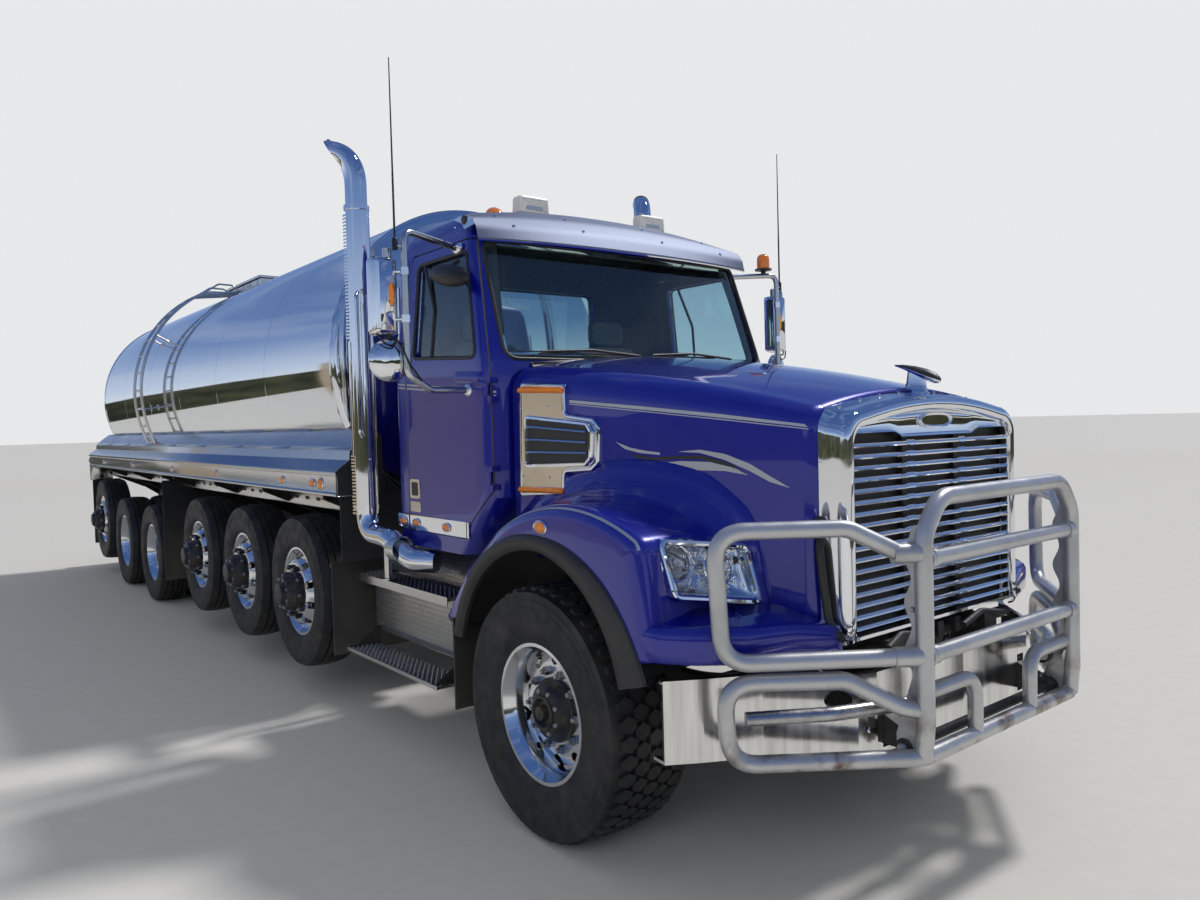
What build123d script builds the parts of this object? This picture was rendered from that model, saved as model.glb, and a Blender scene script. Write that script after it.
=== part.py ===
from build123d import *
import math
import os

# Tank truck with a bonneted cab and seven axles. Millimetres, +Z up, the front towards -Y,
# the driver's left at +X. While the pieces are made, Y is measured back from the steer axle
# and Z up from the road. The last section moves all of them to the centre of the whole length.

# Reach of the whole vehicle, before and behind the steer axle
FRONT_REACH = 1450
REAR_REACH = 10760

# Clearances
SEAT = 0.3            # between pieces that lie on each other
RUN = 0.3             # between a shaft and its bore
PANEL_GAP = 8         # round the doors

# Wheels
STEER_TYRE_R, STEER_TYRE_W, STEER_RIM_W = 548, 420, 350
TYRE_R, TYRE_W, RIM_W = 518, 282, 210
BEAD_R = 286          # where a tyre sits on its rim
FLANGE_R = 305
RIM_WALL = 12
STEER_X = 1045        # wheel centre from the truck's middle
SINGLE_X = 1098
TWIN_X = 1095         # outer wheel of a pair
TWIN_PITCH = 330
SINGLE_FACE = 140     # bolting face of a single wheel's disc, out from its middle
STEER_FACE = 95
DISC_WALL = 22
HUB_R = 118
HUB_OUT = 62          # how far the hub stands out of the disc
SPINDLE_R = 48
HAND_HOLES, HAND_HOLE_R, HAND_HOLE_PCR = 10, 27, 222
LIFT = 170            # how high the raised axles are parked
KINGPIN_X, KINGPIN_R = 900, 25
LEAF_HALF = 620       # half length of the front leaf springs
ARM = 560             # length of the rear trailing arms

# Axles behind the steer axle: name, distance back, wheels on each side, raised
AXLES = (
    ("lift_1", 2900, 1, True),
    ("lift_2", 4100, 1, True),
    ("lift_3", 5400, 1, True),
    ("drive_1", 7300, 2, False),
    ("drive_2", 8720, 2, False),
    ("tag", 10050, 1, True),
)

# Frame rails
RAIL_X, RAIL_FLANGE, RAIL_WEB = 432, 80, 9
RAIL_Z0, RAIL_Z1 = 800, 1075
RAIL_FRONT, RAIL_REAR = -1040, 10640

# Tank and its bed
TANK_R, TANK_Z = 1100, 2220
TANK_Y0, TANK_Y1 = 2300, 10520
HEAD_DEPTH, KNUCKLE_R = 190, 70
OUTLET_R, OUTLET_Z, OUTLET_END, OUTLET_FREE = 50, 1250, 10640, 80
DECK_Y0, DECK_Y1 = 2050, 10650
DECK_X, DECK_Z0, DECK_Z1 = 1270, 1375, 1512
DECK_WALL = 26
OUTRIGGERS = (2330, 3500, 4750, 6150, 6620, 8010, 9385, 10590)
GUSSET_T = 40
SKIRT_R, SKIRT_DROP, SKIRT_EDGE = 330, 190, 30

# Mudflaps: front face, inner and outer X, lower and upper edge
FLAP_T = 12
MUDFLAPS = (
    (700, 860, 1240, 400, 868),
    (2215, 700, 1245, 380, 960),
    (OUTRIGGERS[4] + GUSSET_T / 2 + SEAT, 640, 1235, 300, 1310),
    (DECK_Y1 - SKIRT_EDGE + 2, 900, 1240, 320, DECK_Z0 - SKIRT_DROP - SEAT),
)
FLAP_BARS = (0, 1)    # the flaps that hang from a bar on the frame
FLAP_BAR_R = 12

STEP_TOP = 890        # upper step beside the cab

# Bonnet: distance back, half width, shoulder height, crown height, corner radius
HOOD_SECTIONS = (
    (-1100, 622, 1800, 1868, 80),
    (-560, 775, 1925, 1985, 110),
    (585, 935, 2075, 2140, 140),
)
HOOD_WALL = 22
HOOD_LOW = 930        # lower edge of the nose
ARCH_LOW = 1120       # lower edge of the bonnet side over the wheel
ARCH_R, ARCH_Z = 660, 620
FENDER_X = 1238
FENDER_IN = 640
LOBE_X = 1066         # behind the cab's front the fender stands outboard of this
HOOD_PIVOT = (-1120, 800)
HOOD_PIN_R, HOOD_ARM_T = 15, 22
GRILLE_HALF, GRILLE_Z0, GRILLE_Z1 = 567, 940, 1700
GRILLE_BARS = 17

# Cab
CAB_HALF, CAB_Y0, CAB_Y1 = 1030, 600, 1700
CAB_WALL = 45
CAB_FLOOR, CAB_BELT, CAB_ROOF = 1110, 2110, 2935
GLASS = 6
HINGE_X, HINGE_Y = 1045, 650


def block(x0, x1, y0, y1, z0, z1):
    return Pos((x0 + x1) / 2, (y0 + y1) / 2, (z0 + z1) / 2) * Box(x1 - x0, y1 - y0, z1 - z0)


def side_plate(points, x0, x1, radius=0):
    """Outline of (y, z) points, standing between two X planes."""
    face = make_face(Polyline(*points, close=True))
    if radius:
        face = fillet(face.vertices(), radius)
    return extrude(Plane.YZ.offset(x0) * face, amount=x1 - x0)


def cross_plate(points, y0, y1, radius=0):
    """Outline of (x, z) points, standing between two Y planes."""
    face = make_face(Polyline(*points, close=True))
    if radius:
        face = fillet(face.vertices(), radius)
    return extrude(Plane.XZ.offset(-y1) * face, amount=y1 - y0)


def flat_plate(points, z0, z1, radius=0):
    """Outline of (x, y) points, lying between two Z planes."""
    face = make_face(Polyline(*points, close=True))
    if radius:
        face = fillet(face.vertices(), radius)
    return extrude(Plane.XY.offset(z0) * face, amount=z1 - z0)


def rod(start, end, radius):
    start, end = Vector(*start), Vector(*end)
    return Solid.make_cylinder(radius, (end - start).length, Plane(origin=start, z_dir=end - start))


def bent_tube(points, radius, bend):
    path = FilletPolyline(*points, radius=bend)
    return sweep(Plane(origin=path @ 0, z_dir=path % 0) * Circle(radius), path=path)


def other_side(shape):
    return mirror(shape, about=Plane.YZ)


def both_sides(shape):
    return [shape, other_side(shape)]


def turned(points):
    """Section of (x, radius) points turned about the X axis."""
    return revolve(make_face(Polyline(*points, close=True)), Axis.X)


# Wheels. Each is made with its middle at the origin and its outer side towards +X.
def tyre(radius, width, rim_width):
    half, bead = width / 2, rim_width / 2
    side = [(bead, BEAD_R), (bead, FLANGE_R + 2), (half, (BEAD_R + radius) / 2 + 10),
            (half * 0.93, radius - 32), (half * 0.80, radius)]
    return turned(side + [(-x, r) for x, r in reversed(side)])


def rim(rim_width):
    half, outer, inner = rim_width / 2, BEAD_R - SEAT, BEAD_R - RIM_WALL
    side = [(half + SEAT, outer), (half + SEAT, FLANGE_R), (half + 10, FLANGE_R), (half + 10, inner)]
    return turned(side + [(-x, r) for x, r in reversed(side)])


def disc(rim_width, face):
    """Coned disc from the rim to its bolting face, with ten hand holes."""
    root = math.copysign(rim_width * 0.16, face)
    wall = math.copysign(DISC_WALL, face)
    section = [(root, BEAD_R - RIM_WALL + 2), (root - wall, BEAD_R - RIM_WALL + 2), (face - wall, 178),
               (face - wall, SPINDLE_R + RUN), (face, SPINDLE_R + RUN), (face, 185)]
    body = turned(section)
    for i in range(HAND_HOLES):
        angle = math.radians(360 / HAND_HOLES * (i + 0.5))
        y, z = HAND_HOLE_PCR * math.cos(angle), HAND_HOLE_PCR * math.sin(angle)
        body -= rod((-rim_width, y, z), (rim_width, y, z), HAND_HOLE_R)
    return body


def hub(inner, outer):
    """Hub with a blind bore for the spindle and a domed cap."""
    cap = HUB_OUT
    section = [(inner, SPINDLE_R + RUN), (inner, HUB_R), (outer, HUB_R), (outer + cap * 0.5, HUB_R - 28),
               (outer + cap, HUB_R - 34), (outer + cap, 0), (outer + cap - 14, 0),
               (outer + cap - 14, SPINDLE_R + RUN)]
    return turned(section)


def steer_wheel():
    return rim(STEER_RIM_W) + disc(STEER_RIM_W, STEER_FACE) + hub(STEER_FACE - 110, STEER_FACE)


def single_wheel():
    return rim(RIM_W) + disc(RIM_W, SINGLE_FACE) + hub(SINGLE_FACE - 150, SINGLE_FACE)


def twin_wheel():
    """Two rims bolted back to back on one hub; the origin is at the outer wheel's middle."""
    face = -TWIN_PITCH / 2
    outer = rim(RIM_W) + disc(RIM_W, face)
    inner = Pos(-TWIN_PITCH, 0, 0) * (rim(RIM_W) + disc(RIM_W, -face))
    return outer + inner + hub(face - 90, face + 105)


def spindle_end(middle, face):
    """How far out a spindle reaches, 10 mm short of the bottom of its hub's bore."""
    return middle + face + HUB_OUT - 24


# Axles
def axle_height(raised):
    return TYRE_R + (LIFT if raised else 0)


def lower_axle(y, wheels, raised):
    """Beam with spindles, two trailing arms and an air spring under each frame rail."""
    z = axle_height(raised)
    driven = wheels == 2
    inner_side = TWIN_X - TWIN_PITCH - TYRE_W / 2 if driven else SINGLE_X - TYRE_W / 2
    end = spindle_end(TWIN_X, 105 - TWIN_PITCH / 2) if driven else spindle_end(SINGLE_X, SINGLE_FACE)
    beam_r = 78 if driven else 62
    body = rod((-inner_side + 30, y, z), (inner_side - 30, y, z), beam_r)
    body += rod((-end, y, z), (end, y, z), SPINDLE_R)
    if driven:
        body += revolve(Plane.XY * make_face(Polyline((-190, 0), (-150, 150), (-60, 225), (60, 225),
                                                      (150, 150), (190, 0), close=True)),
                        Axis.X).moved(Location((0, y, z)))
        body += rod((0, y - 360, z + 30), (0, y, z + 30), 70)
    arm_x = RAIL_X - RAIL_FLANGE / 2
    arm = side_plate([(y - ARM, z - 30), (y - ARM, z + 30), (y - 60, z + 62), (y + 230, z + 62),
                      (y + 230, z + 40), (y + 60, z - 20)], arm_x - 32, arm_x + 32)
    spring = rod((arm_x, y + 150, z + 60), (arm_x, y + 150, RAIL_Z0 - SEAT), 95)
    for piece in (arm, spring):
        body += piece
        body += other_side(piece)
    return body


def front_axle():
    z = STEER_TYRE_R
    half = [(0, z - 150), (0, z - 60), (560, z - 60), (700, z + 45), (KINGPIN_X, z + 45),
            (KINGPIN_X, z - 45), (760, z - 45), (600, z - 150)]
    beam = cross_plate(half, -40, 40)
    beam += rod((KINGPIN_X, 0, z - 62), (KINGPIN_X, 0, z + 62), 50)
    beam -= rod((KINGPIN_X, 0, z - 70), (KINGPIN_X, 0, z + 70), KINGPIN_R + RUN)
    beam = beam + other_side(beam)
    spring_x = RAIL_X - RAIL_FLANGE / 2
    end, low, high = LEAF_HALF - SEAT, RAIL_Z0 - 70, RAIL_Z0 - 50
    face = make_face([ThreePointArc((-end, low), (0, z - 60 + SEAT), (end, low)),
                      Line((end, low), (end, high)),
                      ThreePointArc((end, high), (0, z + 30), (-end, high)),
                      Line((-end, high), (-end, low))])
    leaf = extrude(Plane.YZ.offset(spring_x - 38) * face, amount=76)
    return beam + leaf + other_side(leaf)


def knuckle():
    """Left knuckle: a yoke on the king pin, with the wheel's spindle."""
    z = STEER_TYRE_R
    body = rod((KINGPIN_X, 0, z - 100), (KINGPIN_X, 0, z + 100), KINGPIN_R)
    for z0, z1 in ((z - 100, z - 62 - SEAT), (z + 62 + SEAT, z + 100)):
        body += block(KINGPIN_X - 38, KINGPIN_X + 105, -38, 38, z0, z1)
    body += block(KINGPIN_X + 64, KINGPIN_X + 105, -55, 55, z - 100, z + 100)
    end = spindle_end(STEER_X, STEER_FACE)
    return body + rod((KINGPIN_X + 90, 0, z), (end, 0, z), SPINDLE_R)


# Chassis: two channel rails with cross members, saddles, hangers and the rear bumper
CROSS_MEMBERS = (-960, 1500, 2450, 3500, 4700, 6300, 8010, 9400, 10560)
SADDLES = (2700, 4400, 6800, 9000, 10300)
RAIL_END = 12         # plate across the front end of each rail


def chassis():
    x1, x0 = RAIL_X, RAIL_X - RAIL_FLANGE
    channel = [(x1, RAIL_Z0), (x1, RAIL_Z1), (x0, RAIL_Z1), (x0, RAIL_Z1 - RAIL_WEB),
               (x1 - RAIL_WEB, RAIL_Z1 - RAIL_WEB), (x1 - RAIL_WEB, RAIL_Z0 + RAIL_WEB),
               (x0, RAIL_Z0 + RAIL_WEB), (x0, RAIL_Z0)]
    under = RAIL_Z0 - SEAT
    side = [cross_plate(channel, RAIL_FRONT + RAIL_END + SEAT, RAIL_REAR)]
    hanger_x = RAIL_X - RAIL_FLANGE / 2
    for y in (-LEAF_HALF - 25, LEAF_HALF + 25):
        side.append(block(hanger_x - 40, hanger_x + 40, y - 25, y + 25, RAIL_Z0 - 80, under))
    for name, y, wheels, raised in AXLES:
        z = axle_height(raised)
        side.append(side_plate([(y - ARM - 120, under), (y - ARM - SEAT, under), (y - ARM - SEAT, z - 45),
                                (y - ARM - 60, z - 45)], hanger_x - 40, hanger_x + 40))
    for i in FLAP_BARS:
        y, flap_x0, flap_x1, z0, z1 = MUDFLAPS[i]
        bar_y, bar_z = y + FLAP_T + SEAT + FLAP_BAR_R, z1 - 25
        side.append(rod((RAIL_X + SEAT, bar_y, bar_z), (flap_x1, bar_y, bar_z), FLAP_BAR_R))
    frame = side + [other_side(piece) for piece in side]
    inner = RAIL_X - RAIL_WEB - SEAT
    for y in CROSS_MEMBERS:
        frame.append(block(-inner, inner, y - 30, y + 30, RAIL_Z0 + 40, RAIL_Z1 - 40))
    frame += [cradle(y) for y in SADDLES]
    rear = block(-1150, 1150, RAIL_REAR, REAR_REACH, 470, 590)
    rear += block(-RAIL_X, RAIL_X, RAIL_REAR - 90, RAIL_REAR + 2, 480, 580)
    post = block(RAIL_X - 60, RAIL_X, RAIL_REAR - 90, RAIL_REAR, 560, under)
    return frame + [rear + post + other_side(post)]


def tank_round(clearance):
    return rod((0, TANK_Y0 - 400, TANK_Z), (0, TANK_Y1 + 400, TANK_Z), TANK_R + clearance)


def cradle(y):
    """Saddle under the tank, from rail to rail."""
    low, high = RAIL_Z1 + SEAT, RAIL_Z1 + 230
    points = [(-RAIL_X, low), (RAIL_X, low), (RAIL_X + 180, high), (-RAIL_X - 180, high)]
    return cross_plate(points, y - 45, y + 45) - tank_round(SEAT)


# Tank: a cylinder with dished heads
def tank():
    y0, y1, depth, r = TANK_Y0, TANK_Y1, HEAD_DEPTH, TANK_R
    bowl_r = (r * r + depth * depth) / (2 * depth)
    half_sag = bowl_r - math.sqrt(bowl_r ** 2 - (r / 2) ** 2)
    profile = make_face([
        Line((0, y0), (0, y1)),
        ThreePointArc((0, y1), (r / 2, y1 - half_sag), (r, y1 - depth)),
        Line((r, y1 - depth), (r, y0 + depth)),
        ThreePointArc((r, y0 + depth), (r / 2, y0 + half_sag), (0, y0)),
    ])
    profile = fillet([v for v in profile.vertices() if v.X > r - 1], KNUCKLE_R)
    shell = revolve(profile, Axis.Y).moved(Location((0, 0, TANK_Z)))
    collar = OUTLET_END - OUTLET_FREE
    shell += rod((0, y1 - 600, OUTLET_Z), (0, OUTLET_END, OUTLET_Z), OUTLET_R)
    return shell + rod((0, collar - 20, OUTLET_Z), (0, collar, OUTLET_Z), OUTLET_R + 22)


# Bed: a boxed side rail with a sloping apron up to the tank, and gusset plates under it
def deck():
    w = DECK_WALL
    ledge = [(DECK_X, DECK_Z0), (DECK_X, DECK_Z1), (DECK_X - 25, DECK_Z1 + 35), (1178, 1592), (1172, 1652),
             (1012, 1786), (996, 1770), (1172 - w, 1652 - w / 2), (1178 - w, 1592 - w),
             (DECK_X - 25 - w, DECK_Z1 + 35 - w), (DECK_X - w, DECK_Z1 - w), (DECK_X - w, DECK_Z0 + w),
             (1160, DECK_Z0 + w), (1160, DECK_Z0)]
    rail = cross_plate(ledge, DECK_Y0, DECK_Y1)
    rail += block(996, DECK_X, DECK_Y0, DECK_Y0 + 14, DECK_Z0, DECK_Z1 + 35)
    seat_form = offset(make_face(Polyline(*ledge, close=True)), SEAT)
    gusset = [(RAIL_X + SEAT, RAIL_Z0 + 120), (RAIL_X + SEAT, RAIL_Z1 + 150), (1120, 1700), (1150, 1610),
              (1150, DECK_Z0 + w - 1), (1170, DECK_Z0), (DECK_X - w, DECK_Z0), (DECK_X - w, DECK_Z0 - 25)]
    plates = []
    for y in OUTRIGGERS:
        plate = cross_plate(gusset, y - GUSSET_T / 2, y + GUSSET_T / 2) - tank_round(SEAT)
        plate -= extrude(Plane.XZ.offset(-y - GUSSET_T) * seat_form, amount=2 * GUSSET_T)
        plates.append(max(plate.solids(), key=lambda solid: solid.volume))
    low, high = DECK_Z0 - SKIRT_DROP, DECK_Z0 - SEAT
    skirt = side_plate([(DECK_Y1 - SKIRT_R, high), (DECK_Y1, high), (DECK_Y1, low),
                        (DECK_Y1 - SKIRT_EDGE, low)], 1000, DECK_X)
    skirt -= rod((900, DECK_Y1 - SKIRT_R, DECK_Z0 - SKIRT_R), (1300, DECK_Y1 - SKIRT_R, DECK_Z0 - SKIRT_R),
                 SKIRT_R - 16)
    side = [rail - tank_round(SEAT), skirt] + plates
    return side + [other_side(piece) for piece in side]


# Manway box on the crown of the tank, with a lid hinged on its left edge
BOX_HALF, BOX_Y0, BOX_Y1, BOX_TOP = 185, 6620, 7830, 3420
LID_EDGE, LID_T = 22, 26


def manway_box():
    shell = block(-BOX_HALF, BOX_HALF, BOX_Y0, BOX_Y1, TANK_Z + 900, BOX_TOP)
    shell -= block(-BOX_HALF + 10, BOX_HALF - 10, BOX_Y0 + 10, BOX_Y1 - 10, TANK_Z + 800, BOX_TOP + 10)
    for y in (BOX_Y0 + 300, BOX_Y1 - 300):
        shell += rod((BOX_HALF + 16, y - 60, BOX_TOP - 4), (BOX_HALF + 16, y - 21, BOX_TOP - 4), 12)
        shell += rod((BOX_HALF + 16, y - 60, BOX_TOP - 4), (BOX_HALF + 16, y + 40, BOX_TOP - 4), 5)
        shell += block(BOX_HALF - 4, BOX_HALF + 16, y - 60, y - 21, BOX_TOP - 16, BOX_TOP - 4)
    neck_y = (BOX_Y0 + BOX_Y1) / 2
    neck = rod((0, neck_y, TANK_Z), (0, neck_y, BOX_TOP - 60), 130) + \
        rod((0, neck_y, BOX_TOP - 60), (0, neck_y, BOX_TOP - 40), 150)
    return [shell - tank_round(SEAT), neck - tank_round(SEAT)]


def manway_lid():
    lid = block(-BOX_HALF - LID_EDGE, BOX_HALF + 3, BOX_Y0 - LID_EDGE, BOX_Y1 + LID_EDGE,
                BOX_TOP + SEAT + 8, BOX_TOP + SEAT + 8 + LID_T)
    lid = fillet(lid.edges().filter_by(Axis.Z), 18)
    for y in (BOX_Y0 + 300, BOX_Y1 - 300):
        lid += rod((BOX_HALF + 16, y - 20, BOX_TOP - 4), (BOX_HALF + 16, y + 40, BOX_TOP - 4), 12)
        lid += block(BOX_HALF - 10, BOX_HALF + 22, y - 20, y + 40, BOX_TOP + 10, BOX_TOP + 20)
        lid += block(BOX_HALF + 10, BOX_HALF + 22, y - 20, y + 40, BOX_TOP - 4, BOX_TOP + 20)
        lid -= rod((BOX_HALF + 16, y - 61, BOX_TOP - 4), (BOX_HALF + 16, y + 41, BOX_TOP - 4), 5 + RUN)
    lid += block(-BOX_HALF + 60, BOX_HALF - 60, BOX_Y0 + 60, BOX_Y1 - 60, BOX_TOP + SEAT,
                 BOX_TOP + SEAT + 9)
    lid += block(-BOX_HALF - 12, -BOX_HALF + 40, (BOX_Y0 + BOX_Y1) / 2 - 40, (BOX_Y0 + BOX_Y1) / 2 + 40,
                 BOX_TOP + SEAT, BOX_TOP + SEAT + 9)
    return lid


# Ladder on the right side of the tank, from the bed to the manway box
LADDER_Y, LADDER_HALF, LADDER_R = 7500, 165, 15
STAND_OFF = 150


def ladder_point(angle):
    """Point (x, z) on the ladder's bow; the angle is up from the tank's right side."""
    reach = TANK_R + STAND_OFF
    return (-reach * math.cos(math.radians(angle)), TANK_Z + reach * math.sin(math.radians(angle)))


def ladder():
    low, high = -27, 61
    step = 8.8
    parts = None
    for side in (-1, 1):
        y = LADDER_Y + side * LADDER_HALF
        start, middle, end = (ladder_point(a) for a in (low, (low + high) / 2, high))
        arc = ThreePointArc((start[0], y, start[1]), (middle[0], y, middle[1]), (end[0], y, end[1]))
        rail = sweep(Plane(origin=arc @ 0, z_dir=arc % 0) * Circle(LADDER_R), path=arc)
        tip = Vector(arc @ 1)
        rail += rod(tuple(tip), (-BOX_HALF - SEAT, y, BOX_TOP - 60), LADDER_R)
        foot = Vector(arc @ 0)
        rail += rod(tuple(foot), (foot.X, y, 1560), LADDER_R)
        for angle in (-8, 30):
            x, z = ladder_point(angle)
            rail += rod((x, y, z), (0, y, TANK_Z), 10) - tank_round(SEAT)
        parts = rail if parts is None else parts + rail
    for i in range(int((high - low) / step) + 1):
        x, z = ladder_point(low + 2 + i * step)
        parts += rod((x, LADDER_Y - LADDER_HALF, z), (x, LADDER_Y + LADDER_HALF, z), 12)
    parts -= block(-BOX_HALF - SEAT, BOX_HALF, BOX_Y0, BOX_Y1, TANK_Z, BOX_TOP)
    parts += block(-560, -BOX_HALF - SEAT, LADDER_Y - LADDER_HALF, LADDER_Y + LADDER_HALF,
                   BOX_TOP - 72, BOX_TOP - 62)
    side_form = cross_plate([(-DECK_X, DECK_Z0), (-DECK_X, DECK_Z1), (-DECK_X + 25, DECK_Z1 + 35), (-1178, 1592),
                             (-1172, 1652), (-1012, 1786), (-900, 1786), (-900, DECK_Z0)],
                            DECK_Y0, DECK_Y1)
    return parts - tank_round(SEAT) - offset(side_form, SEAT)


# Bonnet
def hood_section(y, half, shoulder, crown, corner, inset, low):
    w, s, c, r = half - inset, shoulder - inset, crown - inset, corner - inset / 2
    k = r * (1 - math.sqrt(0.5))
    edges = [
        Line((-w, low), (w, low)),
        Line((w, low), (w, s - r)),
        ThreePointArc((w, s - r), (w - k, s - k), (w - r, s)),
        ThreePointArc((w - r, s), (0, c), (-w + r, s)),
        ThreePointArc((-w + r, s), (-w + k, s - k), (-w, s - r)),
        Line((-w, s - r), (-w, low)),
    ]
    return Plane.XZ.offset(-y) * make_face(edges)


def hood_form(inset, low=HOOD_LOW):
    front = inset if inset > 0 else 0
    back = 20 if inset > 0 else 0
    sections = []
    for i, (y, half, shoulder, crown, corner) in enumerate(HOOD_SECTIONS):
        y += front * (i == 0) + back * (i == 2)
        sections.append(hood_section(y, half, shoulder, crown, corner, inset, low))
    return loft(sections)


def fender_outline(inset):
    face = make_face([
        Line((-748, 913), (-680, 1345)),
        ThreePointArc((-680, 1345), (-190, 1452), (313, 1308)),
        Line((313, 1308), (594, 1093)),
        Line((594, 1093), (784, 872)),
        Line((784, 872), (-748, 872)),
        Line((-748, 872), (-748, 913)),
    ])
    face = fillet([v for v in face.vertices() if v.Y > 1050], 60)
    return offset(face, -inset) if inset else face


def fender_form(inset):
    x0, x1 = FENDER_IN + inset, FENDER_X - inset
    body = extrude(Plane.YZ.offset(x0) * fender_outline(inset), amount=x1 - x0)
    if not inset:
        edges = [e for e in body.edges() if e.center().X > FENDER_X - 1 and e.center().Z > 930]
        body = fillet(edges, 30)
    return body


def valance():
    """Lower apron from the nose to the fender's front corner."""
    outer = flat_plate([(600, -1098), (636, -1098), (636, -1124), (1000, -1005), (1160, -850), (1225, -748),
                        (1225, -690), (600, -690)], 915, 1030)
    inner = flat_plate([(560, -1080), (655, -1080), (985, -980), (1140, -835), (1200, -740), (1200, -600),
                        (560, -600)], 890, 1012)
    return outer - inner


def hood():
    shell = hood_form(0)
    cavity = hood_form(HOOD_WALL, HOOD_LOW - 60)
    arch = rod((500, 0, ARCH_Z), (1400, 0, ARCH_Z), ARCH_R)
    fender = fender_form(0) - fender_form(HOOD_WALL)
    lobe_cut = block(500, LOBE_X, HOOD_SECTIONS[2][0], 900, 700, 1600)
    side = fender + valance() - lobe_cut
    under = block(0, FENDER_X + 10, -690, HOOD_SECTIONS[2][0] + 30, 700, ARCH_LOW)
    side_skin = shell - cavity
    body = side_skin - under - other_side(under)
    for piece in (side, other_side(side)):
        body += piece - cavity
    body -= arch
    body -= other_side(arch)
    body -= block(-GRILLE_HALF, GRILLE_HALF, -1200, -1060, GRILLE_Z0, GRILLE_Z1)
    low_front = block(-LOBE_X, LOBE_X, HOOD_SECTIONS[2][0] - 5, 900, 700, ARCH_LOW)
    body -= low_front
    body = max(body.solids(), key=lambda s: s.volume)
    return body + hood_arm() + other_side(hood_arm())


def hood_arm():
    """Left arm from the nose down to the tilt pin."""
    y, z = HOOD_PIVOT
    x0 = RAIL_X - RAIL_FLANGE / 2 - HOOD_ARM_T / 2
    face = HOOD_SECTIONS[0][0] + 4
    arm = side_plate([(y - 26, z), (face, HOOD_LOW - 8), (face, HOOD_LOW + 8), (y + 60, HOOD_LOW + 8),
                      (y + 26, z)], x0, x0 + HOOD_ARM_T)
    arm += rod((x0, y, z), (x0 + HOOD_ARM_T, y, z), 28)
    return arm - rod((x0 - 1, y, z), (x0 + HOOD_ARM_T + 1, y, z), HOOD_PIN_R + RUN)


def hood_bearing():
    """Ears on the front of the left rail, with the bonnet's tilt pin."""
    y, z = HOOD_PIVOT
    middle, clear = RAIL_X - RAIL_FLANGE / 2, HOOD_ARM_T / 2 + 4
    bearing = rod((RAIL_X - RAIL_FLANGE, y, z), (RAIL_X, y, z), HOOD_PIN_R)
    for x0, x1 in ((RAIL_X - RAIL_FLANGE, middle - clear), (middle + clear, RAIL_X)):
        bearing += side_plate([(y - 28, z - 26), (y - 28, z + 26), (RAIL_FRONT + 5, z + 60),
                               (RAIL_FRONT + 5, z - 26)], x0, x1)
    return bearing + block(RAIL_X - RAIL_FLANGE, RAIL_X, RAIL_FRONT, RAIL_FRONT + RAIL_END, RAIL_Z0 - 26, RAIL_Z1)


def grille():
    """Surround and level bars, joined by two upright struts."""
    y0, y1 = -1150, -1100 - SEAT
    frame_half = GRILLE_HALF + 62
    frame = cross_plate([(-frame_half, GRILLE_Z0 - 12), (frame_half, GRILLE_Z0 - 12),
                         (frame_half, GRILLE_Z1 + 95), (420, GRILLE_Z1 + 150), (-420, GRILLE_Z1 + 150),
                         (-frame_half, GRILLE_Z1 + 95)], y0, y1)
    frame = fillet(frame.edges().filter_by(Axis.Y), 24)
    frame -= block(-GRILLE_HALF, GRILLE_HALF, y0 - 10, y1 + 10, GRILLE_Z0 + 12, GRILLE_Z1)
    pitch = (GRILLE_Z1 - GRILLE_Z0 - 12) / GRILLE_BARS
    for i in range(GRILLE_BARS):
        z = GRILLE_Z0 + 12 + pitch * (i + 0.5)
        frame += block(-GRILLE_HALF - 5, GRILLE_HALF + 5, y0 + 6, y1 - 14, z - pitch * 0.24, z + pitch * 0.24)
    for x in (-GRILLE_HALF / 3, GRILLE_HALF / 3):
        frame += block(x - 9, x + 9, y1 - 22, y1 - 4, GRILLE_Z0 + 5, GRILLE_Z1 + 5)
    return frame


def headlamp():
    front = side_plate([(-818, 1060), (-716, 1350), (-600, 1350), (-600, 1060)], 700, 1200)
    outline = cross_plate([(740, 1072), (1100, 1128), (1150, 1345), (740, 1282)], -900, -600, 14)
    seat = extrude(Plane.YZ.offset(600) * offset(fender_outline(0), SEAT), amount=700)
    body = (front & outline) - seat - hood_form(-SEAT)
    for x, z in ((850, 1180), (1012, 1214)):
        body -= rod((x, -900, z), (x, -775, z), 72)
    return body


def side_vent():
    skin = hood_form(-16) - hood_form(-SEAT)
    window = side_plate([(40, 1640), (330, 1580), (420, 1447), (570, 1447), (570, 1963), (420, 1963),
                         (330, 1900), (40, 1860)], 600, 1100, 20)
    body = skin & window
    for i in range(4):
        z = 1640 + i * 68
        body -= side_plate([(90, z), (360, z), (360, z + 34), (90, z + 34)], 600, 1100, 12)
    return max(body.solids(), key=lambda s: s.volume)


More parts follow.
